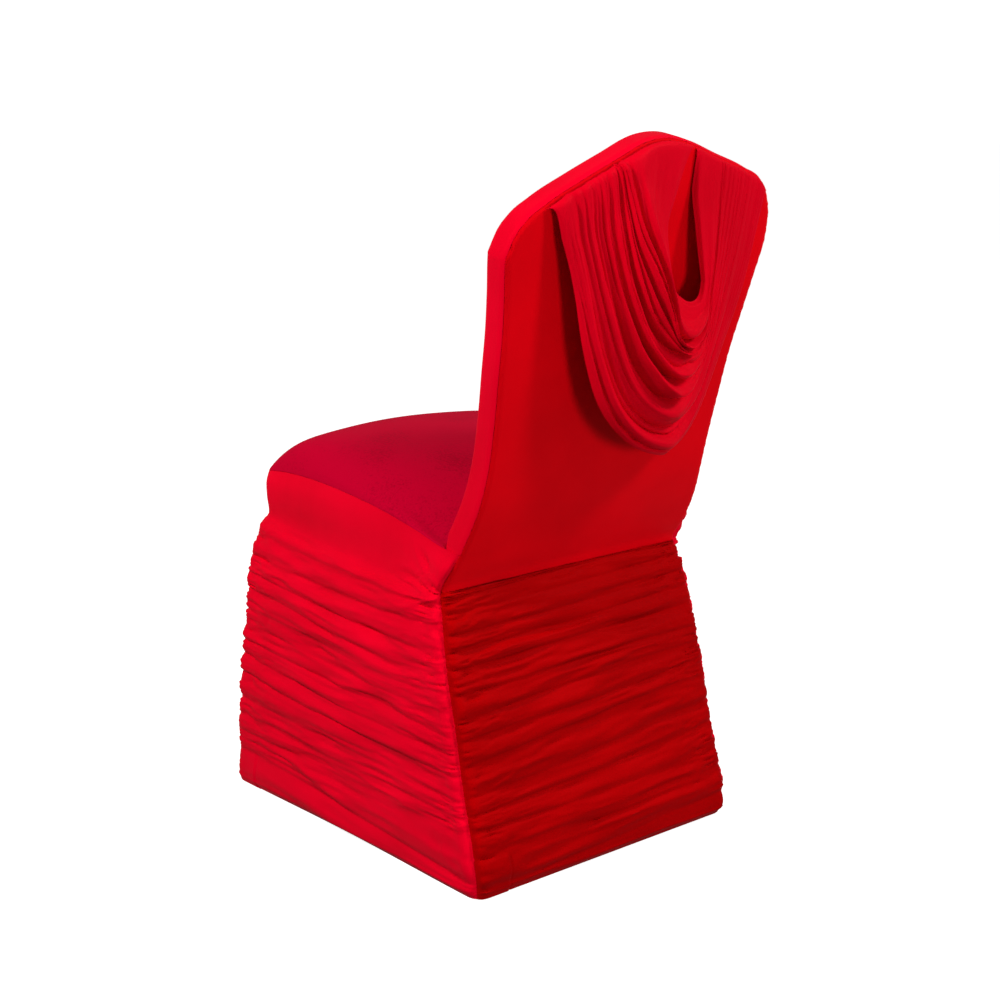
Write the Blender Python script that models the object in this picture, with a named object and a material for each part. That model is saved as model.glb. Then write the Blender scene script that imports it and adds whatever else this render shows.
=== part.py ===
"""Fitted stretch cover for a banquet chair, with ruched skirt panels and a pleated swag on the back.

The chair itself is not built: every piece is thin cloth in the shape in which it hangs on the chair.
Metres, +Z up. The chair faces -Y and its left side is +X. The origin is on the floor, at the middle
of the cover's footprint.
"""
import math

import bpy
import numpy as np

# Cloth
CLOTH = 0.0015            # thickness of every sheet
SEAM = 0.0002             # each panel stops this far short of the seam line
LOOSE_SEAM = 0.0006       # the same, where two unlike curves meet

# Skirt
HEM_REAR = 0.0008         # the hem clears the floor: hardly at the rear corners, more at the front
HEM_FRONT = 0.003
WAIST = 0.384             # waist seam across the rear
SHOULDER_OF_SKIRT = 0.438  # the back's side band starts here
SKIRT_ROUNDING = 0.020    # rounding of the skirt's four vertical corners
SEAM_FADE = 0.10          # share of a panel's width over which its folds die out at a seam
SKIRT_COLUMNS = 12        # grid columns of a ruched panel

# Backrest
BACK_THICKNESS = 0.038
REAR_ROUNDING = 0.009     # edge between the rear panel and the band
FRONT_ROUNDING = 0.012    # edge between the band and the front of the backrest
SHOULDER_LEFT = 0.813     # height at which the left side turns into the crown
SHOULDER_RIGHT = 0.845
SHOULDER_HALF = 0.2185    # half width there
SHOULDER_TIPS = (0.008, 0.016, 0.045)  # extra points of the outline beside a shoulder, in shares

# Seat
SEAT_CROWN = 0.045        # rise of the seat over its seams
SEAT_REAR_RISE = 0.030    # rise of the seat's rear edge at the middle
SEAT_SIDE_POWER = 6.0     # the higher, the squarer the seat's edges
SEAT_FRONT_POWER = 18
SEAT_REAR_POWER = 4
SEAT_ROW = 0.045          # a longer step along the side seams is halved

# Foot pockets
POCKET_SIZE = 0.050       # along each panel, and in height
POCKET_SOLE = 0.002

ORIGIN_Y = 0.009          # the footprint's middle, in the frame of the tables below

RED_SIDE = (0.78, 0.0, 0.026, 1.0)
RED_REAR = (0.55, 0.0, 0.012, 1.0)
RED_SEAT = (0.45, 0.0, 0.022, 1.0)
ROUGHNESS = 0.6

HALF_ARC = math.sqrt(0.5)             # sine and cosine of the 45 degrees at which the rear seam lies
SEAM_INSET = 1.0 - HALF_ARC           # the seam's distance from each face, in roundings


def table(names, rows):
    """Columns of a short table, by name."""
    return dict(zip(names.split(), np.array(rows, float).T))


# Rear corner seam, from the floor up to the shoulder of the back
REAR_SEAM = table("height left right y", [
    (0.000, 0.2190, 0.2210, 0.2275),
    (0.030, 0.2222, 0.2245, 0.2285),
    (0.060, 0.2220, 0.2240, 0.2220),
    (0.130, 0.2202, 0.2220, 0.2020),
    (0.210, 0.2190, 0.2200, 0.1845),
    (0.290, 0.2170, 0.2175, 0.1640),
    (0.350, 0.2107, 0.2107, 0.1484),
    (0.384, 0.2058, 0.2040, 0.1400),
    (0.420, 0.1990, 0.2100, 0.1580),
    (0.458, 0.1930, 0.2075, 0.1775),
    (0.500, 0.1900, 0.1985, 0.1970),
    (0.540, 0.1895, 0.1940, 0.2110),
    (0.610, 0.1945, 0.1940, 0.2310),
    (0.667, 0.2005, 0.1970, 0.2455),
    (0.720, 0.2055, 0.2050, 0.2585),
    (0.767, 0.2115, 0.2135, 0.2690),
    (0.810, 0.2180, 0.2205, 0.2785),
    (0.850, 0.2190, 0.2180, 0.2870),
    (0.900, 0.2190, 0.2180, 0.2970),
    (0.950, 0.2190, 0.2180, 0.3060),
])

# Front corner seam, from the floor up to the seat seam, drawn in where the smooth band ends
FRONT_SEAM = table("height half y", [
    (0.000, 0.2300, -0.3080),
    (0.050, 0.2300, -0.3050),
    (0.100, 0.2295, -0.3000),
    (0.200, 0.2255, -0.2895),
    (0.300, 0.2210, -0.2790),
    (0.350, 0.2175, -0.2715),
    (0.390, 0.2110, -0.2590),
    (0.415, 0.2070, -0.2505),
    (0.440, 0.2085, -0.2520),
    (0.462, 0.2065, -0.2545),
    (0.476, 0.2000, -0.2560),
])

# Outward bow of each panel at mid width: the front follows the seat's rounded nose
PANEL_BOW = table("height rear side front", [
    (0.000, 0.000, -0.004, -0.004),
    (0.100, 0.000, -0.003, 0.000),
    (0.250, 0.000, 0.000, 0.006),
    (0.384, 0.000, 0.004, 0.018),
    (0.440, 0.000, 0.007, 0.026),
    (0.476, 0.000, 0.006, 0.026),
])

# Seat seam on the side panels, along y
SEAT_SEAM = table("y height", [
    (-0.262, 0.4735),
    (-0.210, 0.4785),
    (-0.159, 0.4800),
    (-0.058, 0.4760),
    (0.020, 0.4670),
    (0.092, 0.4530),
    (0.137, 0.4425),
    (0.170, 0.4380),
])

# Crown seam of the back, along x: the apex lies a little to the right and the left shoulder is lower
CROWN = table("x height", [
    (-0.2185, 0.8450),
    (-0.2085, 0.8680),
    (-0.1960, 0.8835),
    (-0.1620, 0.9005),
    (-0.1030, 0.9205),
    (-0.0550, 0.9365),
    (-0.0180, 0.9440),
    (0.0200, 0.9405),
    (0.0660, 0.9215),
    (0.1180, 0.8985),
    (0.1700, 0.8725),
    (0.1960, 0.8545),
    (0.2100, 0.8360),
    (0.2185, 0.8130),
])

# Main creases of the ruched panels, top to bottom: heights where each crosses the panel, and how far
# the cloth stands out beside it. A panel starts at its left seam, seen from outside.
REAR_CREASES = table("start quarter middle third end start_relief relief end_relief", [
    (0.374, 0.378, 0.383, 0.3835, 0.379, 0.0030, 0.0010, 0.0025),
    (0.355, 0.3565, 0.359, 0.361, 0.364, 0.0040, 0.0030, 0.0040),
    (0.329, 0.331, 0.333, 0.337, 0.343, 0.0050, 0.0045, 0.0035),
    (0.308, 0.311, 0.314, 0.318, 0.322, 0.0040, 0.0035, 0.0030),
    (0.287, 0.290, 0.292, 0.2935, 0.297, 0.0055, 0.0050, 0.0040),
    (0.256, 0.2585, 0.262, 0.264, 0.263, 0.0045, 0.0045, 0.0035),
    (0.225, 0.2315, 0.237, 0.2415, 0.243, 0.0050, 0.0040, 0.0025),
    (0.200, 0.2055, 0.207, 0.213, 0.221, 0.0045, 0.0040, 0.0020),
    (0.167, 0.177, 0.186, 0.193, 0.196, 0.0040, 0.0040, 0.0015),
    (0.129, 0.135, 0.143, 0.151, 0.159, 0.0035, 0.0045, 0.0030),
    (0.107, 0.111, 0.115, 0.121, 0.130, 0.0030, 0.0030, 0.0015),
    (0.089, 0.087, 0.087, 0.090, 0.095, 0.0035, 0.0025, 0.0020),
    (0.060, 0.061, 0.062, 0.066, 0.069, 0.0020, 0.0020, 0.0010),
    (0.012, 0.015, 0.022, 0.028, 0.033, 0.0000, 0.0045, 0.0060),
])
SIDE_CREASES = table("start quarter middle third end start_relief relief end_relief", [
    (0.412, 0.404, 0.397, 0.391, 0.385, 0.0020, 0.0010, 0.0030),
    (0.384, 0.379, 0.374, 0.369, 0.364, 0.0030, 0.0010, 0.0035),
    (0.352, 0.346, 0.344, 0.341, 0.344, 0.0035, 0.0035, 0.0035),
    (0.328, 0.322, 0.314, 0.309, 0.308, 0.0070, 0.0070, 0.0020),
    (0.303, 0.298, 0.286, 0.278, 0.286, 0.0030, 0.0035, 0.0020),
    (0.274, 0.270, 0.262, 0.256, 0.262, 0.0040, 0.0015, 0.0020),
    (0.250, 0.246, 0.240, 0.236, 0.237, 0.0025, 0.0010, 0.0020),
    (0.226, 0.222, 0.215, 0.214, 0.205, 0.0040, 0.0065, 0.0030),
    (0.204, 0.196, 0.188, 0.187, 0.182, 0.0055, 0.0045, 0.0025),
    (0.178, 0.168, 0.162, 0.159, 0.157, 0.0060, 0.0070, 0.0035),
    (0.138, 0.134, 0.130, 0.129, 0.124, 0.0035, 0.0010, 0.0015),
    (0.112, 0.106, 0.106, 0.107, 0.106, 0.0025, 0.0010, 0.0015),
    (0.085, 0.086, 0.085, 0.086, 0.087, 0.0015, 0.0010, 0.0025),
    (0.056, 0.052, 0.040, 0.032, 0.022, 0.0035, 0.0080, 0.0040),
])
CREASE_PLACES = np.array([0.0, 0.25, 0.5, 0.75, 1.0])
RELIEF_PLACES = np.array([0.0, 0.5, 1.0])
RIDGE_SKEW = 1.35         # above 1, a ridge leans down over the crease below it
RIDGE_FULLNESS = 0.8      # below 1, ridges are round and creases sharp

# Swag: main lines of its surface, numbered from the open cowl's lip (0) to the hanging edge (15).
# Each runs from the crown seam on the left (station -6) over its lowest point (0) to the crown seam
# on the right (6): x, height and how far it stands off the back.
SWAG_STATIONS = np.arange(-6.0, 7.0)
SWAG_LINES = {
    0: table("x height off", [
        (-0.0580, 0.0000, 0.0050), (-0.0250, 0.8710, 0.0200), (-0.0130, 0.8410, 0.0280),
        (-0.0170, 0.8055, 0.0350), (-0.0280, 0.7730, 0.0400), (-0.0430, 0.7600, 0.0430),
        (-0.0570, 0.7540, 0.0450), (-0.0730, 0.7580, 0.0420), (-0.0810, 0.7760, 0.0350),
        (-0.0780, 0.7950, 0.0300), (-0.0680, 0.8440, 0.0200), (-0.0630, 0.8810, 0.0110),
        (-0.0620, 0.0000, 0.0030)]),
    2: table("x height off", [
        (0.0350, 0.0000, 0.0050), (0.0330, 0.8970, 0.0190), (0.0280, 0.8560, 0.0330),
        (0.0120, 0.8150, 0.0450), (-0.0060, 0.7710, 0.0530), (-0.0200, 0.7380, 0.0570),
        (-0.0470, 0.7250, 0.0560), (-0.0760, 0.7330, 0.0480), (-0.0900, 0.7580, 0.0380),
        (-0.0950, 0.7950, 0.0290), (-0.0960, 0.8380, 0.0190), (-0.0960, 0.8810, 0.0100),
        (-0.0960, 0.0000, 0.0030)]),
    7: table("x height off", [
        (0.0790, 0.0000, 0.0050), (0.0700, 0.8640, 0.0190), (0.0530, 0.8040, 0.0330),
        (0.0260, 0.7540, 0.0440), (-0.0020, 0.7200, 0.0520), (-0.0250, 0.6980, 0.0570),
        (-0.0490, 0.6900, 0.0550), (-0.0790, 0.6960, 0.0460), (-0.0990, 0.7200, 0.0360),
        (-0.1100, 0.7600, 0.0270), (-0.1170, 0.8100, 0.0180), (-0.1210, 0.8620, 0.0100),
        (-0.1230, 0.0000, 0.0030)]),
    10.5: table("x height off", [
        (0.1080, 0.0000, 0.0050), (0.0940, 0.8410, 0.0190), (0.0690, 0.7690, 0.0330),
        (0.0360, 0.7040, 0.0430), (0.0050, 0.6660, 0.0510), (-0.0220, 0.6450, 0.0560),
        (-0.0490, 0.6380, 0.0540), (-0.0820, 0.6450, 0.0440), (-0.1080, 0.6700, 0.0340),
        (-0.1270, 0.7150, 0.0240), (-0.1400, 0.7750, 0.0160), (-0.1490, 0.8450, 0.0100),
        (-0.1530, 0.0000, 0.0030)]),
    15: table("x height off", [
        (0.1720, 0.0000, 0.0040), (0.1490, 0.8320, 0.0160), (0.1270, 0.7710, 0.0270),
        (0.1050, 0.7050, 0.0340), (0.0680, 0.6320, 0.0430), (0.0150, 0.5850, 0.0490),
        (-0.0450, 0.5620, 0.0500), (-0.0850, 0.5590, 0.0370), (-0.1180, 0.5740, 0.0280),
        (-0.1450, 0.6110, 0.0190), (-0.1670, 0.6730, 0.0130), (-0.1880, 0.7550, 0.0090),
        (-0.2030, 0.0000, 0.0035)]),
}
# Depth of the pleats between the lines, at every station
SWAG_PLEATS = np.array([0.0016, 0.0030, 0.0045, 0.0060, 0.0070, 0.0080, 0.0080,
                        0.0060, 0.0042, 0.0030, 0.0020, 0.0012, 0.0006])
SWAG_FIRST_PLEAT = 2       # number of the first ridge; the cloth above it hangs in one wide fold
SWAG_PLEAT_SHAPE = 0.8     # below 1, ridges are wider than valleys
SWAG_SEAM_INSET = 0.0015   # the swag's sewn edge below the crown seam


def smooth(at, knots, values):
    """Smooth curve through the knots (cubic between neighbours)."""
    at = np.asarray(at, float)
    slopes = np.gradient(values, knots)
    low = np.clip(np.searchsorted(knots, at, side="right") - 1, 0, len(knots) - 2)
    step = knots[low + 1] - knots[low]
    t = (at - knots[low]) / step
    return ((1 + 2 * t) * (1 - t) ** 2 * values[low] + t * (1 - t) ** 2 * step * slopes[low]
            + t * t * (3 - 2 * t) * values[low + 1] - t * t * (1 - t) * step * slopes[low + 1])


def unit(vectors):
    return vectors / np.linalg.norm(vectors, axis=-1, keepdims=True)


def ramp(t):
    """Soft step from 0 to 1."""
    t = np.clip(t, 0.0, 1.0)
    return t * t * (3 - 2 * t)


# Meshes

def red_cloth(name, color):
    """Principled material in one of the cover's reds."""
    material = bpy.data.materials.new(name)
    material.use_nodes = True
    shader = material.node_tree.nodes["Principled BSDF"]
    shader.inputs["Base Color"].default_value = color
    shader.inputs["Roughness"].default_value = ROUGHNESS
    shader.inputs["Metallic"].default_value = 0.0
    return material


def add_object(name, vertices, faces, color):
    mesh = bpy.data.meshes.new(name)
    placed = np.asarray(vertices) - np.array([0, ORIGIN_Y, 0])
    mesh.from_pydata([tuple(v) for v in placed], [], [tuple(int(i) for i in f) for f in faces])
    mesh.validate()
    mesh.shade_smooth()
    mesh.set_sharp_from_angle(angle=math.radians(50))
    mesh.materials.append(red_cloth(name, color))
    piece = bpy.data.objects.new(name, mesh)
    bpy.context.scene.collection.objects.link(piece)
    return piece


def grid_faces(rows, columns):
    """Faces of a grid of points in row order, facing along column direction x row direction."""
    return [(r * columns + c, r * columns + c + 1, (r + 1) * columns + c + 1, (r + 1) * columns + c)
            for r in range(rows - 1) for c in range(columns - 1)]


def facing(points, normals, faces):
    """The faces, turned so that they look the way the normals do."""
    quads = np.array(faces)
    across = np.cross(points[quads[:, 2]] - points[quads[:, 0]], points[quads[:, 3]] - points[quads[:, 1]])
    if (across * normals[quads[:, 0]]).sum() < 0:
        return [tuple(reversed(face)) for face in faces]
    return list(faces)


def thicken(points, normals, faces):
    """Close a sheet: the given skin outside, the same skin one cloth inward, and a rim between."""
    count = len(points)
    faces = facing(points, normals, faces)
    vertices = np.vstack([points, points - CLOTH * normals])
    edges = {}
    for face in faces:
        for a, b in zip(face, face[1:] + face[:1]):
            edges[(a, b)] = True
    rim = [(b, a, a + count, b + count) for a, b in edges if (b, a) not in edges]
    inner = [tuple(i + count for i in reversed(face)) for face in faces]
    return vertices, list(faces) + inner + rim


def grid_normals(grid):
    """Vertex normals of a grid, from its neighbours in both directions."""
    along = np.gradient(grid, axis=1)
    across = np.gradient(grid, axis=0)
    return unit(np.cross(along, across))


def sheet(name, grid, normals, color):
    """One cloth piece from a grid of points on its outer face."""
    rows, columns = grid.shape[:2]
    points = grid.reshape(-1, 3)
    faces = grid_faces(rows, columns)
    vertices, faces = thicken(points, normals.reshape(-1, 3), faces)
    return add_object(name, vertices, faces, color)


def stretched(bottom, top, left, right, u, v):
    """Grid between four curves. Rows run from bottom to top, columns from left to right."""
    u, v = u[None, :, None], v[:, None, None]
    sides = (1 - u) * left[:, None] + u * right[:, None]
    ends = (1 - v) * bottom[None] + v * top[None]
    corners = ((1 - u) * (1 - v) * bottom[0] + u * (1 - v) * bottom[-1]
               + (1 - u) * v * top[0] + u * v * top[-1])
    return sides + ends - corners


def shares_along(values):
    """Values rising or falling along a curve, as shares of its whole run."""
    return (values - values[0]) / (values[-1] - values[0])


# Skirt panels

# Corners in the order seen from above, anticlockwise: rear left, rear right, front right, front left
CORNER_SIDE = (1, -1, -1, 1)
CORNER_REAR = (True, True, False, False)
CORNER_HALF = ("left", "right", "half", "half")
CORNER_HEM = (HEM_REAR, HEM_REAR, HEM_FRONT, HEM_FRONT)


def corner_seam(index, height):
    """Plan position of one corner seam at the given heights."""
    seam = REAR_SEAM if CORNER_REAR[index % 4] else FRONT_SEAM
    half = smooth(height, seam["height"], seam[CORNER_HALF[index % 4]])
    y = smooth(height, seam["height"], seam["y"])
    return np.stack([CORNER_SIDE[index % 4] * half, y], -1)


def corner_point(index, height):
    """Where the two panels would meet without rounding: the seam lies half way round the curve."""
    outward = np.array([CORNER_SIDE[index % 4], 1.0 if CORNER_REAR[index % 4] else -1.0])
    return corner_seam(index, height) + SKIRT_ROUNDING / 4 * outward


def skirt_base(panel, share, height):
    """Point of the smooth skirt: share 0 to 1 from one corner seam of the panel to the next."""
    start, end = corner_point(panel, height), corner_point(panel + 1, height)
    before, after = corner_point(panel - 1, height), corner_point(panel + 2, height)
    length = np.linalg.norm(end - start, axis=-1, keepdims=True)
    share = np.asarray(share)[..., None]
    along = (end - start) / length
    outward = np.stack([along[..., 1], -along[..., 0]], -1)
    kind = ("rear", "side", "front", "side")[panel]
    bow = smooth(height, PANEL_BOW["height"], PANEL_BOW[kind])[..., None]
    flat = start + (end - start) * share + outward * bow * np.sin(math.pi * np.clip(share, 0, 1)) ** 2

    def rounded(corner, neighbour, direction, distance):
        t = 0.5 + 0.5 * distance / SKIRT_ROUNDING
        from_point = corner + unit(neighbour - corner) * SKIRT_ROUNDING
        to_point = corner + direction * SKIRT_ROUNDING
        return (1 - t) ** 2 * from_point + 2 * t * (1 - t) * corner + t ** 2 * to_point

    from_start, from_end = share * length, (1 - share) * length
    plan = np.where(from_start < SKIRT_ROUNDING, rounded(start, before, along, from_start), flat)
    plan = np.where(from_end < SKIRT_ROUNDING, rounded(end, after, -along, from_end), plan)
    return np.concatenate([plan, np.broadcast_to(np.asarray(height)[..., None], plan[..., :1].shape)], -1)


def skirt_normal(panel, share, height):
    step = 0.0005
    along = skirt_base(panel, share + step, height) - skirt_base(panel, share - step, height)
    up = skirt_base(panel, share, height + step) - skirt_base(panel, share, height - step)
    return unit(np.cross(along, up))


def crease_heights(creases, share):
    """Height of every crease at the given shares of the panel: one row for each crease."""
    knots = np.stack([creases[name] for name in ("start", "quarter", "middle", "third", "end")], -1)
    return np.array([smooth(share, CREASE_PLACES, row) for row in knots])


def crease_relief(creases, share):
    knots = np.stack([creases[name] for name in ("start_relief", "relief", "end_relief")], -1)
    fade = ramp(share / SEAM_FADE) * ramp((1 - share) / SEAM_FADE)
    return np.array([np.interp(share, RELIEF_PLACES, row) for row in knots]) * fade


def skirt_grid(panel, creases, shares, top_height):
    """Grid of a ruched panel. Its rows follow the creases, and the cloth stands out between them."""
    between = (0.0, 0.3, 0.68)
    lines = crease_heights(creases, shares)
    relief = crease_relief(creases, shares)
    top = np.broadcast_to(top_height, shares.shape)
    hem = CORNER_HEM[panel] + (CORNER_HEM[(panel + 1) % 4] - CORNER_HEM[panel]) * shares
    heights, stand_off = [], []
    upper, upper_relief = top, np.zeros_like(shares)
    for line, line_relief in list(zip(lines, relief)) + [(hem, relief[-1] * 0.5)]:
        for t in between:
            ridge = math.sin(math.pi * t ** RIDGE_SKEW) ** RIDGE_FULLNESS if t > 0 else 0.0
            heights.append(upper * (1 - t) + line * t)
            stand_off.append((upper_relief * (1 - t) + line_relief * t) * ridge)
        upper, upper_relief = line, line_relief
    heights.append(hem)
    stand_off.append(np.zeros_like(shares))
    heights, stand_off = np.array(heights)[::-1], np.array(stand_off)[::-1]
    wide = np.broadcast_to(shares, heights.shape)
    normals = skirt_normal(panel, wide, heights)
    return skirt_base(panel, wide, heights) + normals * stand_off[..., None], normals


def mitred(normals):
    """Inward offsets along a seam between a wall and the seat: both pieces are cut at 45 degrees."""
    return unit(normals * np.array([1, 1, 0])) + np.array([0, 0, 1.0])


def panel_shares(panel, columns):
    """Shares of a panel's width, closer together on the rounded corners, short of the seams."""
    width = np.linalg.norm(corner_point(panel + 1, 0.2) - corner_point(panel, 0.2))
    corner = np.array([SEAM, SKIRT_ROUNDING / 2, SKIRT_ROUNDING, SKIRT_ROUNDING + CLOTH]) / width
    middle = np.linspace(corner[-1], 1 - corner[-1], columns - 6)[1:-1]
    return np.concatenate([corner, middle, 1 - corner[::-1]])


def side_top(panel, shares):
    """Height of a side panel's top edge, which follows the seat seam along y."""
    y = skirt_base(panel, shares, np.full_like(shares, 0.46))[:, 1]
    return smooth(y, SEAT_SEAM["y"], SEAT_SEAM["height"])


def side_creases(panel):
    """The left panel runs from front to rear; the right one is its mirror, a little lower."""
    if panel == 3:
        return SIDE_CREASES
    swap = {"start": "end", "quarter": "third", "middle": "middle", "third": "quarter", "end": "start",
            "start_relief": "end_relief", "relief": "relief", "end_relief": "start_relief"}
    return {name: SIDE_CREASES[source] for name, source in swap.items()}


def front_creases():
    """The hidden front repeats the rear's creases the other way round, raised to its higher waist."""
    lift = (FRONT_SEAM["height"][7] - WAIST) / WAIST
    swap = {"start": "end", "quarter": "third", "middle": "middle", "third": "quarter", "end": "start"}
    creases = {name: REAR_CREASES[source] * (1 + lift) for name, source in swap.items()}
    creases.update({name: REAR_CREASES[name] for name in ("start_relief", "relief", "end_relief")})
    return creases


def build_skirt():
    """The four ruched panels. Returns the grids of the side and front panels for the seat's seam."""
    grids = {}
    band_front = back_point(0.0, np.array(SHOULDER_OF_SKIRT), BACK_THICKNESS - FRONT_ROUNDING)[1]
    shares = panel_shares(0, SKIRT_COLUMNS)
    grid, normals = skirt_grid(0, REAR_CREASES, shares, WAIST - LOOSE_SEAM)
    sheet("skirt_rear", grid, normals, RED_REAR)
    for panel, name in ((1, "skirt_right"), (3, "skirt_left")):
        shares = panel_shares(panel, SKIRT_COLUMNS)
        grid, normals = skirt_grid(panel, side_creases(panel), shares, side_top(panel, shares) - SEAM)
        beside_seat = grid[-1, :, 1] < band_front
        normals[-1, beside_seat] = mitred(normals[-1, beside_seat])
        sheet(name, grid, normals, RED_SIDE)
        grids[name] = grid
    shares = panel_shares(2, SKIRT_COLUMNS)
    front_top = SEAT_SEAM["height"][0] + 0.004 * np.sin(math.pi * shares)
    grid, normals = skirt_grid(2, front_creases(), shares, front_top - SEAM)
    normals[-1] = mitred(normals[-1])
    sheet("skirt_front", grid, normals, RED_SIDE)
    grids["skirt_front"] = grid
    return grids


# Backrest: a leaning slab with rounded edges, given by x, height on its rear seam and depth forward

def lean(height):
    """Slope of the rear seam in side view."""
    step = 0.004
    rise = (smooth(height + step, REAR_SEAM["height"], REAR_SEAM["y"])
            - smooth(height - step, REAR_SEAM["height"], REAR_SEAM["y"]))
    return np.arctan(rise / (2 * step))


def rearward(height):
    """Normal of the rear face."""
    angle = lean(height)
    return np.stack([np.zeros_like(angle), np.cos(angle), -np.sin(angle)], -1)


def upward(height):
    angle = lean(height)
    return np.stack([np.zeros_like(angle), np.sin(angle), np.cos(angle)], -1)


def back_point(x, height, depth):
    """Point of the slab: the rear seam lies at a depth of SEAM_INSET roundings."""
    x, height, depth = np.broadcast_arrays(np.asarray(x, float), height, depth)
    y = smooth(height, REAR_SEAM["height"], REAR_SEAM["y"])
    base = np.stack([x, y, height], -1)
    return base - rearward(height) * (depth - SEAM_INSET * REAR_ROUNDING)[..., None]


def outline(side_heights_left, side_heights_right, crown_shares):
    """Seam outline of the back in slab coordinates, up the left, over the crown, down the right."""
    left = np.stack([smooth(side_heights_left, REAR_SEAM["height"], REAR_SEAM["left"]),
                     side_heights_left], -1)
    right = np.stack([-smooth(side_heights_right, REAR_SEAM["height"], REAR_SEAM["right"]),
                      side_heights_right], -1)[::-1]
    x = SHOULDER_HALF * crown_shares
    crown = np.stack([x, smooth(x, CROWN["x"], CROWN["height"])], -1)
    return np.concatenate([left[:-1], crown, right[1:]])


def outline_normals(points):
    along = np.gradient(points, axis=0)
    return unit(np.stack([along[:, 1], -along[:, 0]], -1))


def close_to_ends(values, tips):
    """The values from 0 to 1, with extra ones close to both ends."""
    return np.array(sorted(list(values) + list(tips) + [1 - tip for tip in tips]))


def back_outline(bottom, side_count=11, crown_count=11):
    """Seam outline from the given height, with its points for the sides and for the crown."""
    crown = close_to_ends(np.linspace(0, 1, crown_count), SHOULDER_TIPS)
    side = np.array(sorted(list(np.linspace(0, 1, side_count)) + [1 - tip for tip in SHOULDER_TIPS]))
    below = np.arange(bottom, SHOULDER_OF_SKIRT - SEAM, (SHOULDER_OF_SKIRT - WAIST) / 2)
    left = np.concatenate([below, SHOULDER_OF_SKIRT + side * (SHOULDER_LEFT - SHOULDER_OF_SKIRT)])
    right = np.concatenate([below, SHOULDER_OF_SKIRT + side * (SHOULDER_RIGHT - SHOULDER_OF_SKIRT)])
    return outline(left, right, 1 - 2 * crown), len(left), len(crown)


def edge_distance(x, height, dense):
    """Distance to the seam outline and the direction towards it, in slab coordinates."""
    flat = np.stack([x.ravel(), height.ravel()], -1)
    offsets = dense[None] - flat[:, None]
    away = np.linalg.norm(offsets, axis=-1)
    nearest = away.argmin(axis=1)
    rows = np.arange(len(flat))
    towards = outline_normals(dense)[nearest]
    return away[rows, nearest].reshape(x.shape), towards.reshape(x.shape + (2,))


def rear_depth(distance):
    """Depth of the rear panel at a distance inside its seam: an arc, then the flat face."""
    left_over = np.clip(REAR_ROUNDING * HALF_ARC - distance, 0, None)
    return REAR_ROUNDING - np.sqrt(REAR_ROUNDING ** 2 - left_over ** 2)


def slab_normal(height, outward, angle):
    """Normal of the rounded edge, from the rear face (angle 0) to the side (90 degrees)."""
    side = outward[..., :1] * np.array([1.0, 0, 0]) + outward[..., 1:] * upward(height)
    return unit(np.cos(angle)[..., None] * rearward(height) + np.sin(angle)[..., None] * side)


def dense_outline():
    return back_outline(WAIST, 180, 320)[0]


def rear_surface(x, height):
    """Point and normal of the rear panel's outer face."""
    distance, towards = edge_distance(x, height, dense_outline())
    angle = np.arcsin(np.clip(REAR_ROUNDING * HALF_ARC - distance, 0, None) / REAR_ROUNDING)
    return back_point(x, height, rear_depth(distance)), slab_normal(height, towards, angle)


def build_rear_panel():
    points, side_count, crown_count = back_outline(WAIST)
    inset = points - outline_normals(points) * SEAM
    inset[0], inset[-1] = points[0] + (-SEAM, SEAM), points[-1] + (SEAM, SEAM)
    left = inset[:side_count]
    crown = inset[side_count - 1:side_count - 1 + crown_count]
    right = inset[side_count + crown_count - 2:][::-1]
    bottom = np.stack([crown[:, 0] * left[0, 0] / crown[0, 0], np.full(crown_count, WAIST + SEAM)], -1)
    bottom[0], bottom[-1] = left[0], right[0]
    plan = stretched(bottom, crown, left, right, shares_along(bottom[:, 0]), shares_along(left[:, 1]))
    grid, normals = rear_surface(plan[..., 0], plan[..., 1])
    sheet("back_rear_panel", grid[:, ::-1], normals[:, ::-1], RED_REAR)


def band_sections():
    """Cross-section of the band: outward offset from the seam, depth and normal angle."""
    sections = []
    for angle in np.radians((46.5, 68, 90)):
        sections.append((REAR_ROUNDING * (math.sin(angle) - HALF_ARC),
                         REAR_ROUNDING * (1 - math.cos(angle)), angle))
    full = REAR_ROUNDING * SEAM_INSET
    for turn in np.radians((0, 30, 60, 90)):
        sections.append((full - FRONT_ROUNDING * (1 - math.cos(turn)),
                         BACK_THICKNESS - FRONT_ROUNDING * (1 - math.sin(turn)), math.pi / 2 + turn))
    return sections


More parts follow.
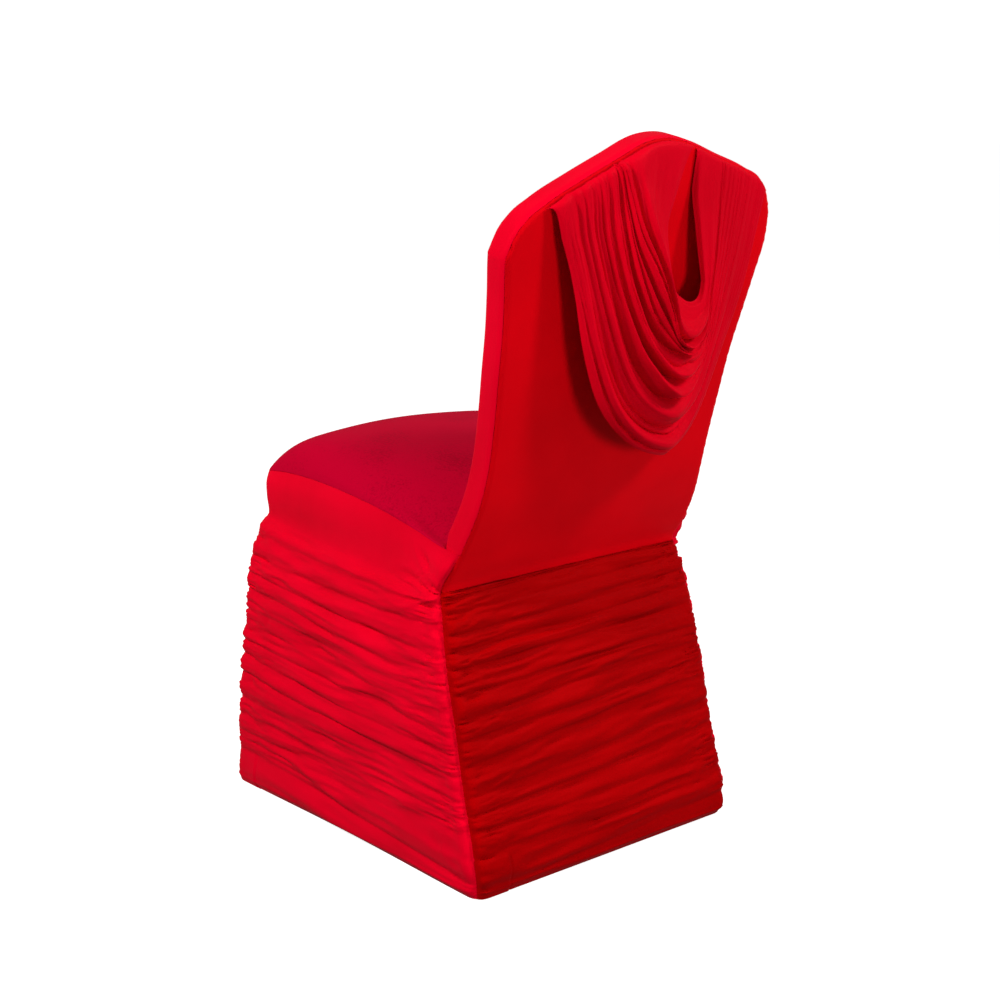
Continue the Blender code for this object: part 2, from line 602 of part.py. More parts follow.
def build_front_panel():
    """Band round the sides and the top, and the front of the backrest, in one piece of cloth."""
    points, side_count, crown_count = back_outline(SHOULDER_OF_SKIRT)
    outward = outline_normals(points)
    outward[0], outward[-1] = (1, 0), (-1, 0)
    rows, normals = [], []
    for offset, depth, angle in band_sections():
        rows.append(back_point(points[:, 0] + outward[:, 0] * offset,
                               points[:, 1] + outward[:, 1] * offset, depth))
        normals.append(slab_normal(points[:, 1], outward, np.full(len(points), angle)))
    rows, normals = np.array(rows), np.array(normals)
    seat_line = smooth(rows[:, 0, 1], SEAT_SEAM["y"], SEAT_SEAM["height"]) + SEAM
    rows[:, 0, 2] = seat_line
    rows[:, -1, 2] = seat_line
    rim = rows[-1]
    left, crown = rim[:side_count], rim[side_count - 1:side_count - 1 + crown_count]
    right = rim[side_count + crown_count - 2:][::-1]
    share = (crown[:, 0] - crown[0, 0]) / (crown[-1, 0] - crown[0, 0])
    bottom = left[0] + (right[0] - left[0]) * share[:, None]
    bottom[:, 2] += SEAT_REAR_RISE * np.sin(math.pi * share)
    rise = bottom[:, 2] - left[0, 2]
    bottom[:, 1] += rise * math.tan(float(lean(np.array(0.46))))
    face = stretched(bottom, crown, left, right, share, shares_along(left[:, 2]))
    face_normals = -grid_normals(face)
    return rows, normals, face, face_normals, side_count, crown_count


def join_front_panel():
    rows, normals, face, face_normals, side_count, crown_count = build_front_panel()
    band_rows, band_columns = rows.shape[:2]
    points = list(rows.reshape(-1, 3))
    point_normals = list(normals.reshape(-1, 3))
    rim_start = (band_rows - 1) * band_columns
    index = np.full(face.shape[:2], -1)
    for r in range(side_count):
        index[r, 0] = rim_start + r
        index[r, -1] = rim_start + band_columns - 1 - r
    for c in range(crown_count):
        index[-1, c] = rim_start + side_count - 1 + c
    for r in range(face.shape[0]):
        for c in range(face.shape[1]):
            if index[r, c] < 0:
                index[r, c] = len(points)
                points.append(face[r, c])
                point_normals.append(face_normals[r, c])
    faces = [tuple(reversed(f)) for f in grid_faces(band_rows, band_columns)]
    for r in range(face.shape[0] - 1):
        for c in range(face.shape[1] - 1):
            faces.append((index[r, c], index[r, c + 1], index[r + 1, c + 1], index[r + 1, c]))
    vertices, faces = thicken(np.array(points), np.array(point_normals), faces)
    add_object("back_front_panel", vertices, faces, RED_SIDE)
    front_turn = rows[3:]
    return front_turn[:, 0], face[0], front_turn[:, -1]


# Seat

def resampled(curve, shares):
    """The same curve with points at the given shares of its length."""
    steps = np.linalg.norm(np.diff(curve, axis=0), axis=1)
    along = np.concatenate([[0], np.cumsum(steps)])
    return np.stack([np.interp(shares * along[-1], along, curve[:, i]) for i in range(3)], -1)


def curve_shares(curve):
    steps = np.linalg.norm(np.diff(curve, axis=0), axis=1)
    return np.concatenate([[0], np.cumsum(steps)]) / steps.sum()


def halved(curve):
    """The same curve with a point in the middle of each long step."""
    points = [curve[0]]
    for before, after in zip(curve[:-1], curve[1:]):
        if np.linalg.norm(after - before) > SEAT_ROW:
            points.append((before + after) / 2)
        points.append(after)
    return np.array(points)


def build_seat(skirt, back_edge):
    """Crowned seat top between the side seams, the front seam and the backrest."""
    rear = np.concatenate([back_edge[0][:-1], back_edge[1], back_edge[2][:-1][::-1]])
    rear = rear - np.array([0, LOOSE_SEAM, LOOSE_SEAM])
    lift = np.array([0, 0, 2 * SEAM])
    sides = []
    for name, end in (("skirt_left", rear[0]), ("skirt_right", rear[-1])):
        top = skirt[name][-1] + lift
        top = top[np.argsort(top[:, 1])]
        sides.append(halved(np.vstack([top[top[:, 1] < end[1] - CLOTH], end])))
    along = curve_shares(sides[0])
    across = curve_shares(rear)
    front = resampled(skirt["skirt_front"][-1][::-1] + lift, across)
    front[0], front[-1] = sides[0][0], sides[1][0]
    grid = stretched(front, rear, sides[0], sides[1], across, along)
    side_rise = 1 - np.abs(2 * across - 1)[None, :] ** SEAT_SIDE_POWER
    front_rise = 1 - (1 - along[:, None]) ** SEAT_FRONT_POWER
    rear_fall = 1 - along[:, None] ** SEAT_REAR_POWER
    grid[..., 2] += SEAT_CROWN * side_rise * front_rise * rear_fall
    normals = grid_normals(grid)
    normals *= np.sign(normals[..., 2].sum())
    across_front = np.gradient(grid[0], axis=0)
    for edge, direction in ((0, 1), (-1, -1)):
        run = np.gradient(grid[:, edge], axis=0)
        normals[:, edge] = mitred(direction * np.stack([run[:, 1], -run[:, 0], 0 * run[:, 0]], -1))
    normals[0] = mitred(np.stack([-across_front[:, 1], across_front[:, 0], 0 * across_front[:, 0]], -1))
    sheet("seat_panel", grid, normals, RED_SEAT)


# Swag

def swag_point(line, station):
    """Seam coordinates and stand-off of the swag at the given line numbers and stations."""
    numbers = np.array(sorted(SWAG_LINES), float)
    parts = {}
    for name in ("x", "height", "off"):
        curves = np.array([smooth(station, SWAG_STATIONS, key_line(number)[name])
                           for number in sorted(SWAG_LINES)])
        flat = curves.reshape(len(numbers), -1)
        lines = np.broadcast_to(line, np.shape(station)).ravel()
        parts[name] = np.array([smooth(at, numbers, flat[:, i]) for i, at in enumerate(lines)])
        parts[name] = parts[name].reshape(np.shape(station))
    sewn = ramp(np.abs(station) - (SWAG_STATIONS[-1] - 1))
    crown = smooth(parts["x"], CROWN["x"], CROWN["height"]) - SWAG_SEAM_INSET
    parts["height"] += (crown - parts["height"]) * sewn
    depth = smooth(station, SWAG_STATIONS, SWAG_PLEATS)
    wave = 2 * np.abs(np.cos(math.pi / 2 * (line - SWAG_FIRST_PLEAT))) ** SWAG_PLEAT_SHAPE - 1
    pleats = ramp(line - SWAG_FIRST_PLEAT + 1)
    return parts["x"], parts["height"], parts["off"] + depth * wave * pleats


def key_line(number):
    """One main line of the swag, with its two ends on the crown seam."""
    line = {name: column.copy() for name, column in SWAG_LINES[number].items()}
    for end in (0, -1):
        line["height"][end] = smooth(line["x"][end], CROWN["x"], CROWN["height"]) - SWAG_SEAM_INSET
    return line


def build_swag():
    lines = np.arange(0, max(SWAG_LINES) + 0.25, 0.5)
    stations = np.concatenate([np.linspace(-6, 0, 14), np.linspace(0, 6, 11)[1:]])
    line, station = np.meshgrid(lines, stations, indexing="ij")
    x, height, stand_off = swag_point(line, station)
    distance, _ = edge_distance(x, height, dense_outline())
    grid = back_point(x, height, rear_depth(distance)) + rearward(height) * stand_off[..., None]
    normals = grid_normals(grid)
    if (normals * rearward(height)).sum() < 0:
        normals = -normals
    sheet("back_drape", grid[::-1], normals[::-1], RED_SIDE)


# Foot pockets

def build_foot_pockets():
    """A cup of cloth in each hem corner, open at the top, with a flat sole on the floor."""
    names = ("foot_pocket_rear_left", "foot_pocket_rear_right",
             "foot_pocket_front_right", "foot_pocket_front_left")
    heights = np.array([0.0, 0.5, 1.0]) * POCKET_SIZE
    for corner, name in enumerate(names):
        outer = np.array([pocket_loop(corner, h, CLOTH + 2 * SEAM) for h in heights])
        inner = np.array([pocket_loop(corner, max(h, POCKET_SOLE), 2 * CLOTH + 2 * SEAM)
                          for h in heights])
        count = outer.shape[1]
        vertices = np.concatenate([outer.reshape(-1, 3), inner.reshape(-1, 3)])
        faces = []
        levels = len(heights)
        for level in range(levels - 1):
            for i in range(count):
                j = (i + 1) % count
                a, b = level * count, (level + 1) * count
                faces.append((a + i, a + j, b + j, b + i))
                shift = levels * count
                faces.append((shift + a + j, shift + a + i, shift + b + i, shift + b + j))
        top, inner_top = (levels - 1) * count, (2 * levels - 1) * count
        for i in range(count):
            j = (i + 1) % count
            faces.append((top + i, top + j, inner_top + j, inner_top + i))
        faces.append(tuple(reversed(range(count))))
        faces.append(tuple(levels * count + i for i in range(count)))
        add_object(name, vertices, faces, RED_SIDE)


def pocket_loop(corner, height, inset):
    """Level loop of a pocket, anticlockwise from above: along both panels, then across inside."""
    height = float(height)

    def panel_points(panel, shares):
        shares = np.array(shares)
        heights = np.full_like(shares, height)
        base = skirt_base(panel, shares, heights)
        normals = skirt_normal(panel, shares, heights)
        flat = unit(normals * np.array([1, 1, 0]))
        return base - flat * inset

    width = [np.linalg.norm(corner_point(p + 1, 0.2) - corner_point(p, 0.2)) for p in range(4)]
    before, after = (corner - 1) % 4, corner
    reach = POCKET_SIZE - (inset - CLOTH - 2 * SEAM)
    first = panel_points(before, [1 - d / width[before] for d in (reach, 0.03, 0.02, 0.01, 0.0)])
    second = panel_points(after, [d / width[after] for d in (0.01, 0.02, 0.03, reach)])
    outer = np.vstack([first, second])
    inside = first[0] + second[-1] - panel_points(after, [0.0])[0]
    rounding = 0.25
    near_first = inside + (first[0] - inside) * rounding
    near_last = inside + (second[-1] - inside) * rounding
    return np.vstack([outer, near_last, near_first])


def main():
    for old in list(bpy.data.objects):
        bpy.data.objects.remove(old, do_unlink=True)
    skirt = build_skirt()
    build_rear_panel()
    back_edge = join_front_panel()
    build_seat(skirt, back_edge)
    build_swag()
    build_foot_pockets()


main()
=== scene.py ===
"""Dressed scene of the ruched stretch chair cover: fine cloth over plain solids, floor, light, camera."""

import math

import bpy
import numpy as np
from mathutils import Matrix, Vector

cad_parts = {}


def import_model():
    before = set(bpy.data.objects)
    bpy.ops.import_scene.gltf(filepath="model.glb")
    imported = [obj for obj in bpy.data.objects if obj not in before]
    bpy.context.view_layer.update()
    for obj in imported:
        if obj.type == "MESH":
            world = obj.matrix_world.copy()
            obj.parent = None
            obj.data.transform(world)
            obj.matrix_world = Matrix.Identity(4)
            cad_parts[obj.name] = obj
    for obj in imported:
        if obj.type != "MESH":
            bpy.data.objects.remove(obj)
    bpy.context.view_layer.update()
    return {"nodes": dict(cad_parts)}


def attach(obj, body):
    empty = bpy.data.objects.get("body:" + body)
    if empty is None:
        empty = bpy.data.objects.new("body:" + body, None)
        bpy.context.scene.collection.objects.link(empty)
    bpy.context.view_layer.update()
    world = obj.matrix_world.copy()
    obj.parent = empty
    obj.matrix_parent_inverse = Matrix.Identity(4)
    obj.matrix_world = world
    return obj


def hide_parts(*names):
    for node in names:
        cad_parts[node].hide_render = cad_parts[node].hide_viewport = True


# Cloth
CLOTH = 0.0015            # thickness of every sheet
SEAM = 0.0002             # each panel stops this far short of the seam line
LOOSE_SEAM = 0.0006       # the same, where two unlike curves meet

# Skirt
HEM_REAR = 0.0008         # the hem clears the floor: hardly at the rear corners, more at the front
HEM_FRONT = 0.003
WAIST = 0.384             # waist seam across the rear
SHOULDER_OF_SKIRT = 0.438  # the back's side band starts here
SKIRT_ROUNDING = 0.020    # rounding of the skirt's four vertical corners
SKIRT_MIDDLE = 0.2        # height about half way up the skirt
SMOOTH_REAR = 0.395       # above these heights a panel is smooth; the side panels' rises forwards
SMOOTH_SIDE = (0.385, 0.415)
SMOOTH_FRONT = 0.418
FRONT_TOP_BOW = 0.004     # rise of the front panel's top edge at the middle

# Backrest
BACK_THICKNESS = 0.038
REAR_ROUNDING = 0.009     # edge between the rear panel and the band
FRONT_ROUNDING = 0.012    # edge between the band and the front of the backrest
SHOULDER_LEFT = 0.813     # height at which the left side turns into the crown
SHOULDER_RIGHT = 0.845
SHOULDER_HALF = 0.2185    # half width there
SHOULDER_TIPS = (0.008, 0.016, 0.045)  # extra points of the outline beside a shoulder, in shares
BAND_TUCK = 0.0025        # the band's foot is tucked in behind the side panel's edge
SEAT_LEVEL = 0.46         # height at which the seat meets the backrest
BAND_SEAT_SECTION = 8     # the seat's rear edge follows the band's foot from this section forwards
REAR_PULL_REACH = 0.05    # small creases over the waist seam: how far up they run, size and depth
REAR_PULL_LENGTH = 0.05
REAR_PULL_PITCH = 0.011
REAR_PULL_DEPTH = 0.0010
REAR_PULL_SLANT = 0.25

# Seat
SEAT_CROWN = 0.045        # rise of the seat over its seams
SEAT_REAR_RISE = 0.030    # rise of the seat's rear edge at the middle
SEAT_SIDE_POWER = 6.0     # the higher, the squarer the seat's edges
SEAT_FRONT_POWER = 18
SEAT_REAR_POWER = 4
SEAT_SHOULDER = 7.0       # how much squarer the seat's edges are at its front
SEAT_STEPS = 121          # grid points along and across the seat

ORIGIN_Y = 0.009          # the footprint's middle, in the frame of the tables below

HALF_ARC = math.sqrt(0.5)             # sine and cosine of the 45 degrees at which the rear seam lies
SEAM_INSET = 1.0 - HALF_ARC           # the seam's distance from each face, in roundings

# Fine cloth
CLOTH_SHOWN = 0.0010      # thickness of the cloth as it shows
SHARP_EDGE = math.radians(75)  # edges that turn more than this stay sharp
GATHER_PITCH = 0.0058     # fine gathers beside a corner seam
GATHER_LENGTH = 0.030
GATHER_DEPTH = 0.0044
GATHER_REACH = 0.065      # how far the fine gathers run into the panel
GATHER_FALL = 1.3         # how steeply they die out there
GATHER_SAG = 0.0012       # how far they shift up and down
FOLD_PITCH = 0.0130       # folds between the main creases
FOLD_LENGTH = 0.11
FOLD_DEPTH = 0.0043
HEM_FOLD = 0.9            # the lowest band's fullness against the tension fold above it
HEM_CALM = 0.45           # share of the fine folds that is left below the last crease
BROAD_PITCH = 2.2 * FOLD_PITCH  # broad shallow folds across the middle
BROAD_LENGTH = 0.16
BROAD_DEPTH = 0.0058
UNEVEN_LENGTH = 0.09      # size of the fuller and flatter patches of cloth
UNEVEN_HEIGHT = 0.022
UNEVEN_LEAST = 0.55
UNEVEN_RANGE = 0.9
SMOOTH_SHARE = 0.3        # share of the main folds that is left in the smooth band beside the seat
RUCHED_FADE = 0.02        # height over which ruching begins below the smooth band, and ends at the hem
HEM_FADE = 0.012
TOP_LEVEL = 0.43          # even height given to a panel's top edge, where its folds are counted from
FAN_DEPTH = 0.0100        # tension folds that fan out from the waist corners on the side panels
FAN_REACH = 0.105
FAN_LENGTH = 0.08
FAN_RAYS = 5.5            # folds for each radian
FAN_CENTRE = (0.012, 0.006)  # the fan's centre lies this far outside the seam and below the waist
FAN_TOP_FADE = 0.025      # it dies out towards the panel's top edge, its centre and its lowest ray
FAN_CENTRE_FADE = 0.02
FAN_LOWEST = -0.5         # direction of the lowest ray, in radians
FAN_ANGLE_FADE = 0.3
SEAM_GROOVE = 0.0008      # depth of the puckered corner seam
SEAM_PUCKER = 0.0016
SEAM_OVERLAP = 0.0006     # panels overlap this far at a corner seam
SEAM_CALM = 0.016         # the main folds weaken this near a corner seam, to this share
SEAM_SHARE = 0.45
GROOVE_WIDTH = 0.0045
RELIEF_FADE = 0.020       # share of a panel's width over which the main folds die out
PANEL_COLUMNS = 190
COLUMN_CROWDING = 0.035   # grid columns stand closer together at the seams
ROWS_PER_FOLD = 14
FOOT_PATCH_REAR = 0.052   # square of doubled cloth over each foot
FOOT_PATCH_FRONT = 0.050
PATCH_RISE = 0.0012
PATCH_FADE = 0.0015       # width over which its edge falls off, and width and depth of its stitches
PATCH_STITCH_WIDTH = 0.0013
PATCH_STITCH = 0.0010
PATCH_BESIDE = 0.003      # the stitches end this far outside the square
HEM_BAND = 0.014          # the turned-up hem and its stitches, with the same measures
HEM_RISE = 0.0008
HEM_BAND_FADE = 0.002
HEM_STITCH_WIDTH = 0.0012
HEM_STITCH = 0.0009


def table(names, rows):
    """Columns of a short table, by name."""
    return dict(zip(names.split(), np.array(rows, float).T))


# Rear corner seam, from the floor up to the shoulder of the back
REAR_SEAM = table("height left right y", [
    (0.000, 0.2190, 0.2210, 0.2275),
    (0.030, 0.2222, 0.2245, 0.2285),
    (0.060, 0.2220, 0.2240, 0.2220),
    (0.130, 0.2202, 0.2220, 0.2020),
    (0.210, 0.2190, 0.2200, 0.1845),
    (0.290, 0.2170, 0.2175, 0.1640),
    (0.350, 0.2107, 0.2107, 0.1484),
    (0.384, 0.2058, 0.2040, 0.1400),
    (0.420, 0.1990, 0.2100, 0.1580),
    (0.458, 0.1930, 0.2075, 0.1775),
    (0.500, 0.1900, 0.1985, 0.1970),
    (0.540, 0.1895, 0.1940, 0.2110),
    (0.610, 0.1945, 0.1940, 0.2310),
    (0.667, 0.2005, 0.1970, 0.2455),
    (0.720, 0.2055, 0.2050, 0.2585),
    (0.767, 0.2115, 0.2135, 0.2690),
    (0.810, 0.2180, 0.2205, 0.2785),
    (0.850, 0.2190, 0.2180, 0.2870),
    (0.900, 0.2190, 0.2180, 0.2970),
    (0.950, 0.2190, 0.2180, 0.3060),
])

# Front corner seam, from the floor up to the seat seam, drawn in where the smooth band ends
FRONT_SEAM = table("height half y", [
    (0.000, 0.2300, -0.3080),
    (0.050, 0.2300, -0.3050),
    (0.100, 0.2295, -0.3000),
    (0.200, 0.2255, -0.2895),
    (0.300, 0.2210, -0.2790),
    (0.350, 0.2175, -0.2715),
    (0.390, 0.2110, -0.2590),
    (0.415, 0.2070, -0.2505),
    (0.440, 0.2085, -0.2520),
    (0.462, 0.2065, -0.2545),
    (0.476, 0.2000, -0.2560),
])

# Outward bow of each panel at mid width: the front follows the seat's rounded nose
PANEL_BOW = table("height rear side front", [
    (0.000, 0.000, -0.004, -0.004),
    (0.100, 0.000, -0.003, 0.000),
    (0.250, 0.000, 0.000, 0.006),
    (0.384, 0.000, 0.004, 0.018),
    (0.440, 0.000, 0.007, 0.026),
    (0.476, 0.000, 0.006, 0.026),
])

# Seat seam on the side panels, along y
SEAT_SEAM = table("y height", [
    (-0.262, 0.4735),
    (-0.210, 0.4785),
    (-0.159, 0.4800),
    (-0.058, 0.4760),
    (0.020, 0.4670),
    (0.092, 0.4530),
    (0.137, 0.4425),
    (0.170, 0.4380),
])

# Crown seam of the back, along x: the apex lies a little to the right and the left shoulder is lower
CROWN = table("x height", [
    (-0.2185, 0.8450),
    (-0.2085, 0.8680),
    (-0.1960, 0.8835),
    (-0.1620, 0.9005),
    (-0.1030, 0.9205),
    (-0.0550, 0.9365),
    (-0.0180, 0.9440),
    (0.0200, 0.9405),
    (0.0660, 0.9215),
    (0.1180, 0.8985),
    (0.1700, 0.8725),
    (0.1960, 0.8545),
    (0.2100, 0.8360),
    (0.2185, 0.8130),
])

# Main creases of the ruched panels, top to bottom: heights where each crosses the panel, and how far
# the cloth stands out beside it. A panel starts at its left seam, seen from outside.
REAR_CREASES = table("start quarter middle third end start_relief relief end_relief", [
    (0.374, 0.378, 0.383, 0.3835, 0.379, 0.0030, 0.0010, 0.0025),
    (0.355, 0.3565, 0.359, 0.361, 0.364, 0.0040, 0.0030, 0.0040),
    (0.329, 0.331, 0.333, 0.337, 0.343, 0.0050, 0.0045, 0.0035),
    (0.308, 0.311, 0.314, 0.318, 0.322, 0.0040, 0.0035, 0.0030),
    (0.287, 0.290, 0.292, 0.2935, 0.297, 0.0055, 0.0050, 0.0040),
    (0.256, 0.2585, 0.262, 0.264, 0.263, 0.0045, 0.0045, 0.0035),
    (0.225, 0.2315, 0.237, 0.2415, 0.243, 0.0050, 0.0040, 0.0025),
    (0.200, 0.2055, 0.207, 0.213, 0.221, 0.0045, 0.0040, 0.0020),
    (0.167, 0.177, 0.186, 0.193, 0.196, 0.0040, 0.0040, 0.0015),
    (0.129, 0.135, 0.143, 0.151, 0.159, 0.0035, 0.0045, 0.0030),
    (0.107, 0.111, 0.115, 0.121, 0.130, 0.0030, 0.0030, 0.0015),
    (0.089, 0.087, 0.087, 0.090, 0.095, 0.0035, 0.0025, 0.0020),
    (0.060, 0.061, 0.062, 0.066, 0.069, 0.0020, 0.0020, 0.0010),
    (0.012, 0.015, 0.022, 0.028, 0.033, 0.0000, 0.0045, 0.0060),
])
SIDE_CREASES = table("start quarter middle third end start_relief relief end_relief", [
    (0.412, 0.404, 0.397, 0.391, 0.385, 0.0020, 0.0010, 0.0030),
    (0.384, 0.379, 0.374, 0.369, 0.364, 0.0030, 0.0010, 0.0035),
    (0.352, 0.346, 0.344, 0.341, 0.344, 0.0035, 0.0035, 0.0035),
    (0.328, 0.322, 0.314, 0.309, 0.308, 0.0070, 0.0070, 0.0020),
    (0.303, 0.298, 0.286, 0.278, 0.286, 0.0030, 0.0035, 0.0020),
    (0.274, 0.270, 0.262, 0.256, 0.262, 0.0040, 0.0015, 0.0020),
    (0.250, 0.246, 0.240, 0.236, 0.237, 0.0025, 0.0010, 0.0020),
    (0.226, 0.222, 0.215, 0.214, 0.205, 0.0040, 0.0065, 0.0030),
    (0.204, 0.196, 0.188, 0.187, 0.182, 0.0055, 0.0045, 0.0025),
    (0.178, 0.168, 0.162, 0.159, 0.157, 0.0060, 0.0070, 0.0035),
    (0.138, 0.134, 0.130, 0.129, 0.124, 0.0035, 0.0010, 0.0015),
    (0.112, 0.106, 0.106, 0.107, 0.106, 0.0025, 0.0010, 0.0015),
    (0.085, 0.086, 0.085, 0.086, 0.087, 0.0015, 0.0010, 0.0025),
    (0.056, 0.052, 0.040, 0.032, 0.022, 0.0035, 0.0080, 0.0040),
])
CREASE_NAMES = ("start", "quarter", "middle", "third", "end")
CREASE_PLACES = np.array([0.0, 0.25, 0.5, 0.75, 1.0])
RELIEF_NAMES = ("start_relief", "relief", "end_relief")
RELIEF_PLACES = np.array([0.0, 0.5, 1.0])
MIRRORED = dict(zip(CREASE_NAMES + RELIEF_NAMES, CREASE_NAMES[::-1] + RELIEF_NAMES[::-1]))
RIDGE_SKEW = 1.35         # above 1, a ridge leans down over the crease below it
RIDGE_FULLNESS = 0.8      # below 1, ridges are round and creases sharp

# Swag: main lines of its surface, numbered from the open cowl's lip (0) to the hanging edge (15).
# Each runs from the crown seam on the left (station -6) over its lowest point (0) to the crown seam
# on the right (6): x, height and how far it stands off the back.
SWAG_STATIONS = np.arange(-6.0, 7.0)
SWAG_LINES = {
    0: table("x height off", [
        (-0.0580, 0.0000, 0.0050), (-0.0250, 0.8710, 0.0200), (-0.0130, 0.8410, 0.0280),
        (-0.0170, 0.8055, 0.0350), (-0.0280, 0.7730, 0.0400), (-0.0430, 0.7600, 0.0430),
        (-0.0570, 0.7540, 0.0450), (-0.0730, 0.7580, 0.0420), (-0.0810, 0.7760, 0.0350),
        (-0.0780, 0.7950, 0.0300), (-0.0680, 0.8440, 0.0200), (-0.0630, 0.8810, 0.0110),
        (-0.0620, 0.0000, 0.0030)]),
    2: table("x height off", [
        (0.0350, 0.0000, 0.0050), (0.0330, 0.8970, 0.0190), (0.0280, 0.8560, 0.0330),
        (0.0120, 0.8150, 0.0450), (-0.0060, 0.7710, 0.0530), (-0.0200, 0.7380, 0.0570),
        (-0.0470, 0.7250, 0.0560), (-0.0760, 0.7330, 0.0480), (-0.0900, 0.7580, 0.0380),
        (-0.0950, 0.7950, 0.0290), (-0.0960, 0.8380, 0.0190), (-0.0960, 0.8810, 0.0100),
        (-0.0960, 0.0000, 0.0030)]),
    7: table("x height off", [
        (0.0790, 0.0000, 0.0050), (0.0700, 0.8640, 0.0190), (0.0530, 0.8040, 0.0330),
        (0.0260, 0.7540, 0.0440), (-0.0020, 0.7200, 0.0520), (-0.0250, 0.6980, 0.0570),
        (-0.0490, 0.6900, 0.0550), (-0.0790, 0.6960, 0.0460), (-0.0990, 0.7200, 0.0360),
        (-0.1100, 0.7600, 0.0270), (-0.1170, 0.8100, 0.0180), (-0.1210, 0.8620, 0.0100),
        (-0.1230, 0.0000, 0.0030)]),
    10.5: table("x height off", [
        (0.1080, 0.0000, 0.0050), (0.0940, 0.8410, 0.0190), (0.0690, 0.7690, 0.0330),
        (0.0360, 0.7040, 0.0430), (0.0050, 0.6660, 0.0510), (-0.0220, 0.6450, 0.0560),
        (-0.0490, 0.6380, 0.0540), (-0.0820, 0.6450, 0.0440), (-0.1080, 0.6700, 0.0340),
        (-0.1270, 0.7150, 0.0240), (-0.1400, 0.7750, 0.0160), (-0.1490, 0.8450, 0.0100),
        (-0.1530, 0.0000, 0.0030)]),
    15: table("x height off", [
        (0.1720, 0.0000, 0.0040), (0.1490, 0.8320, 0.0160), (0.1270, 0.7710, 0.0270),
        (0.1050, 0.7050, 0.0340), (0.0680, 0.6320, 0.0430), (0.0150, 0.5850, 0.0490),
        (-0.0450, 0.5620, 0.0500), (-0.0850, 0.5590, 0.0370), (-0.1180, 0.5740, 0.0280),
        (-0.1450, 0.6110, 0.0190), (-0.1670, 0.6730, 0.0130), (-0.1880, 0.7550, 0.0090),
        (-0.2030, 0.0000, 0.0035)]),
}
# Depth of the pleats between the lines, at every station
SWAG_PLEATS = np.array([0.0020, 0.0042, 0.0072, 0.0104, 0.0130, 0.0150, 0.0140,
                        0.0096, 0.0054, 0.0028, 0.0016, 0.0009, 0.0005])
SWAG_FIRST_PLEAT = 2       # number of the first ridge; the cloth above it hangs in one wide fold
SWAG_PLEAT_SHAPE = 0.68    # below 1, ridges are wider than valleys
SWAG_SEAM_INSET = 0.0015   # the swag's sewn edge below the crown seam
SWAG_ROWS_PER_LINE = 14
SWAG_COLUMNS = 190
LIP_ROLL = 0.006           # the cowl's lip and the hanging edge are rolled in
SWAG_WRINKLE = 0.0022
SWAG_WANDER = 0.8          # how far a pleat strays from its line
SWAG_THIN_RATE = 2.15      # thin pleats for every wide one
SWAG_THIN_SHAPE = 0.6
SWAG_THIN_SHARE = 0.45


def smooth(at, knots, values):
    """Smooth curve through the knots (cubic between neighbours)."""
    at = np.asarray(at, float)
    slopes = np.gradient(values, knots)
    low = np.clip(np.searchsorted(knots, at, side="right") - 1, 0, len(knots) - 2)
    step = knots[low + 1] - knots[low]
    t = (at - knots[low]) / step
    return ((1 + 2 * t) * (1 - t) ** 2 * values[low] + t * (1 - t) ** 2 * step * slopes[low]
            + t * t * (3 - 2 * t) * values[low + 1] - t * t * (1 - t) * step * slopes[low + 1])


def unit(vectors):
    return vectors / np.linalg.norm(vectors, axis=-1, keepdims=True)


def ramp(t):
    """Soft step from 0 to 1."""
    t = np.clip(t, 0.0, 1.0)
    return t * t * (3 - 2 * t)


# Noise

LATTICE = (97, 211)       # random values before the noise repeats


def lattice_noise(u, v, seed):
    """Smooth noise from 0 to 1 with one random value for each whole u and v."""
    lattice = np.random.default_rng(seed).random(LATTICE)
    iu, iv = np.floor(u).astype(int), np.floor(v).astype(int)
    fu, fv = ramp(u - iu), ramp(v - iv)

    def node(i, j):
        return lattice[i % LATTICE[0], j % LATTICE[1]]

    near = node(iu, iv) * (1 - fu) + node(iu + 1, iv) * fu
    far = node(iu, iv + 1) * (1 - fu) + node(iu + 1, iv + 1) * fu
    return near * (1 - fv) + far * fv


def ridges(u, v, seed):
    """Long soft ridges along u with sharper valleys between them, from 0 to 1."""
    n = 0.65 * lattice_noise(u, v, seed) + 0.35 * lattice_noise(1.9 * u + 7.3, 2.1 * v + 3.1, seed + 1)
    return np.sqrt(np.clip(1 - np.abs(2 * n - 1) * 1.6, 0, 1))


# Meshes

def cloth_mesh(name, grid, material):
    """A closed thin sheet from a grid of points on its outer face."""
    rows, columns = grid.shape[:2]
    index = np.arange(rows * columns).reshape(rows, columns)
    return closed_sheet(name, grid.reshape(-1, 3), grid_quads(index), material)


def grid_quads(index, turned=False):
    """Faces between neighbours in a grid of vertex numbers."""
    corners = (index[:-1, :-1], index[:-1, 1:], index[1:, 1:], index[1:, :-1])
    quads = np.stack([corner.ravel() for corner in corners], -1)
    return quads[:, ::-1] if turned else quads


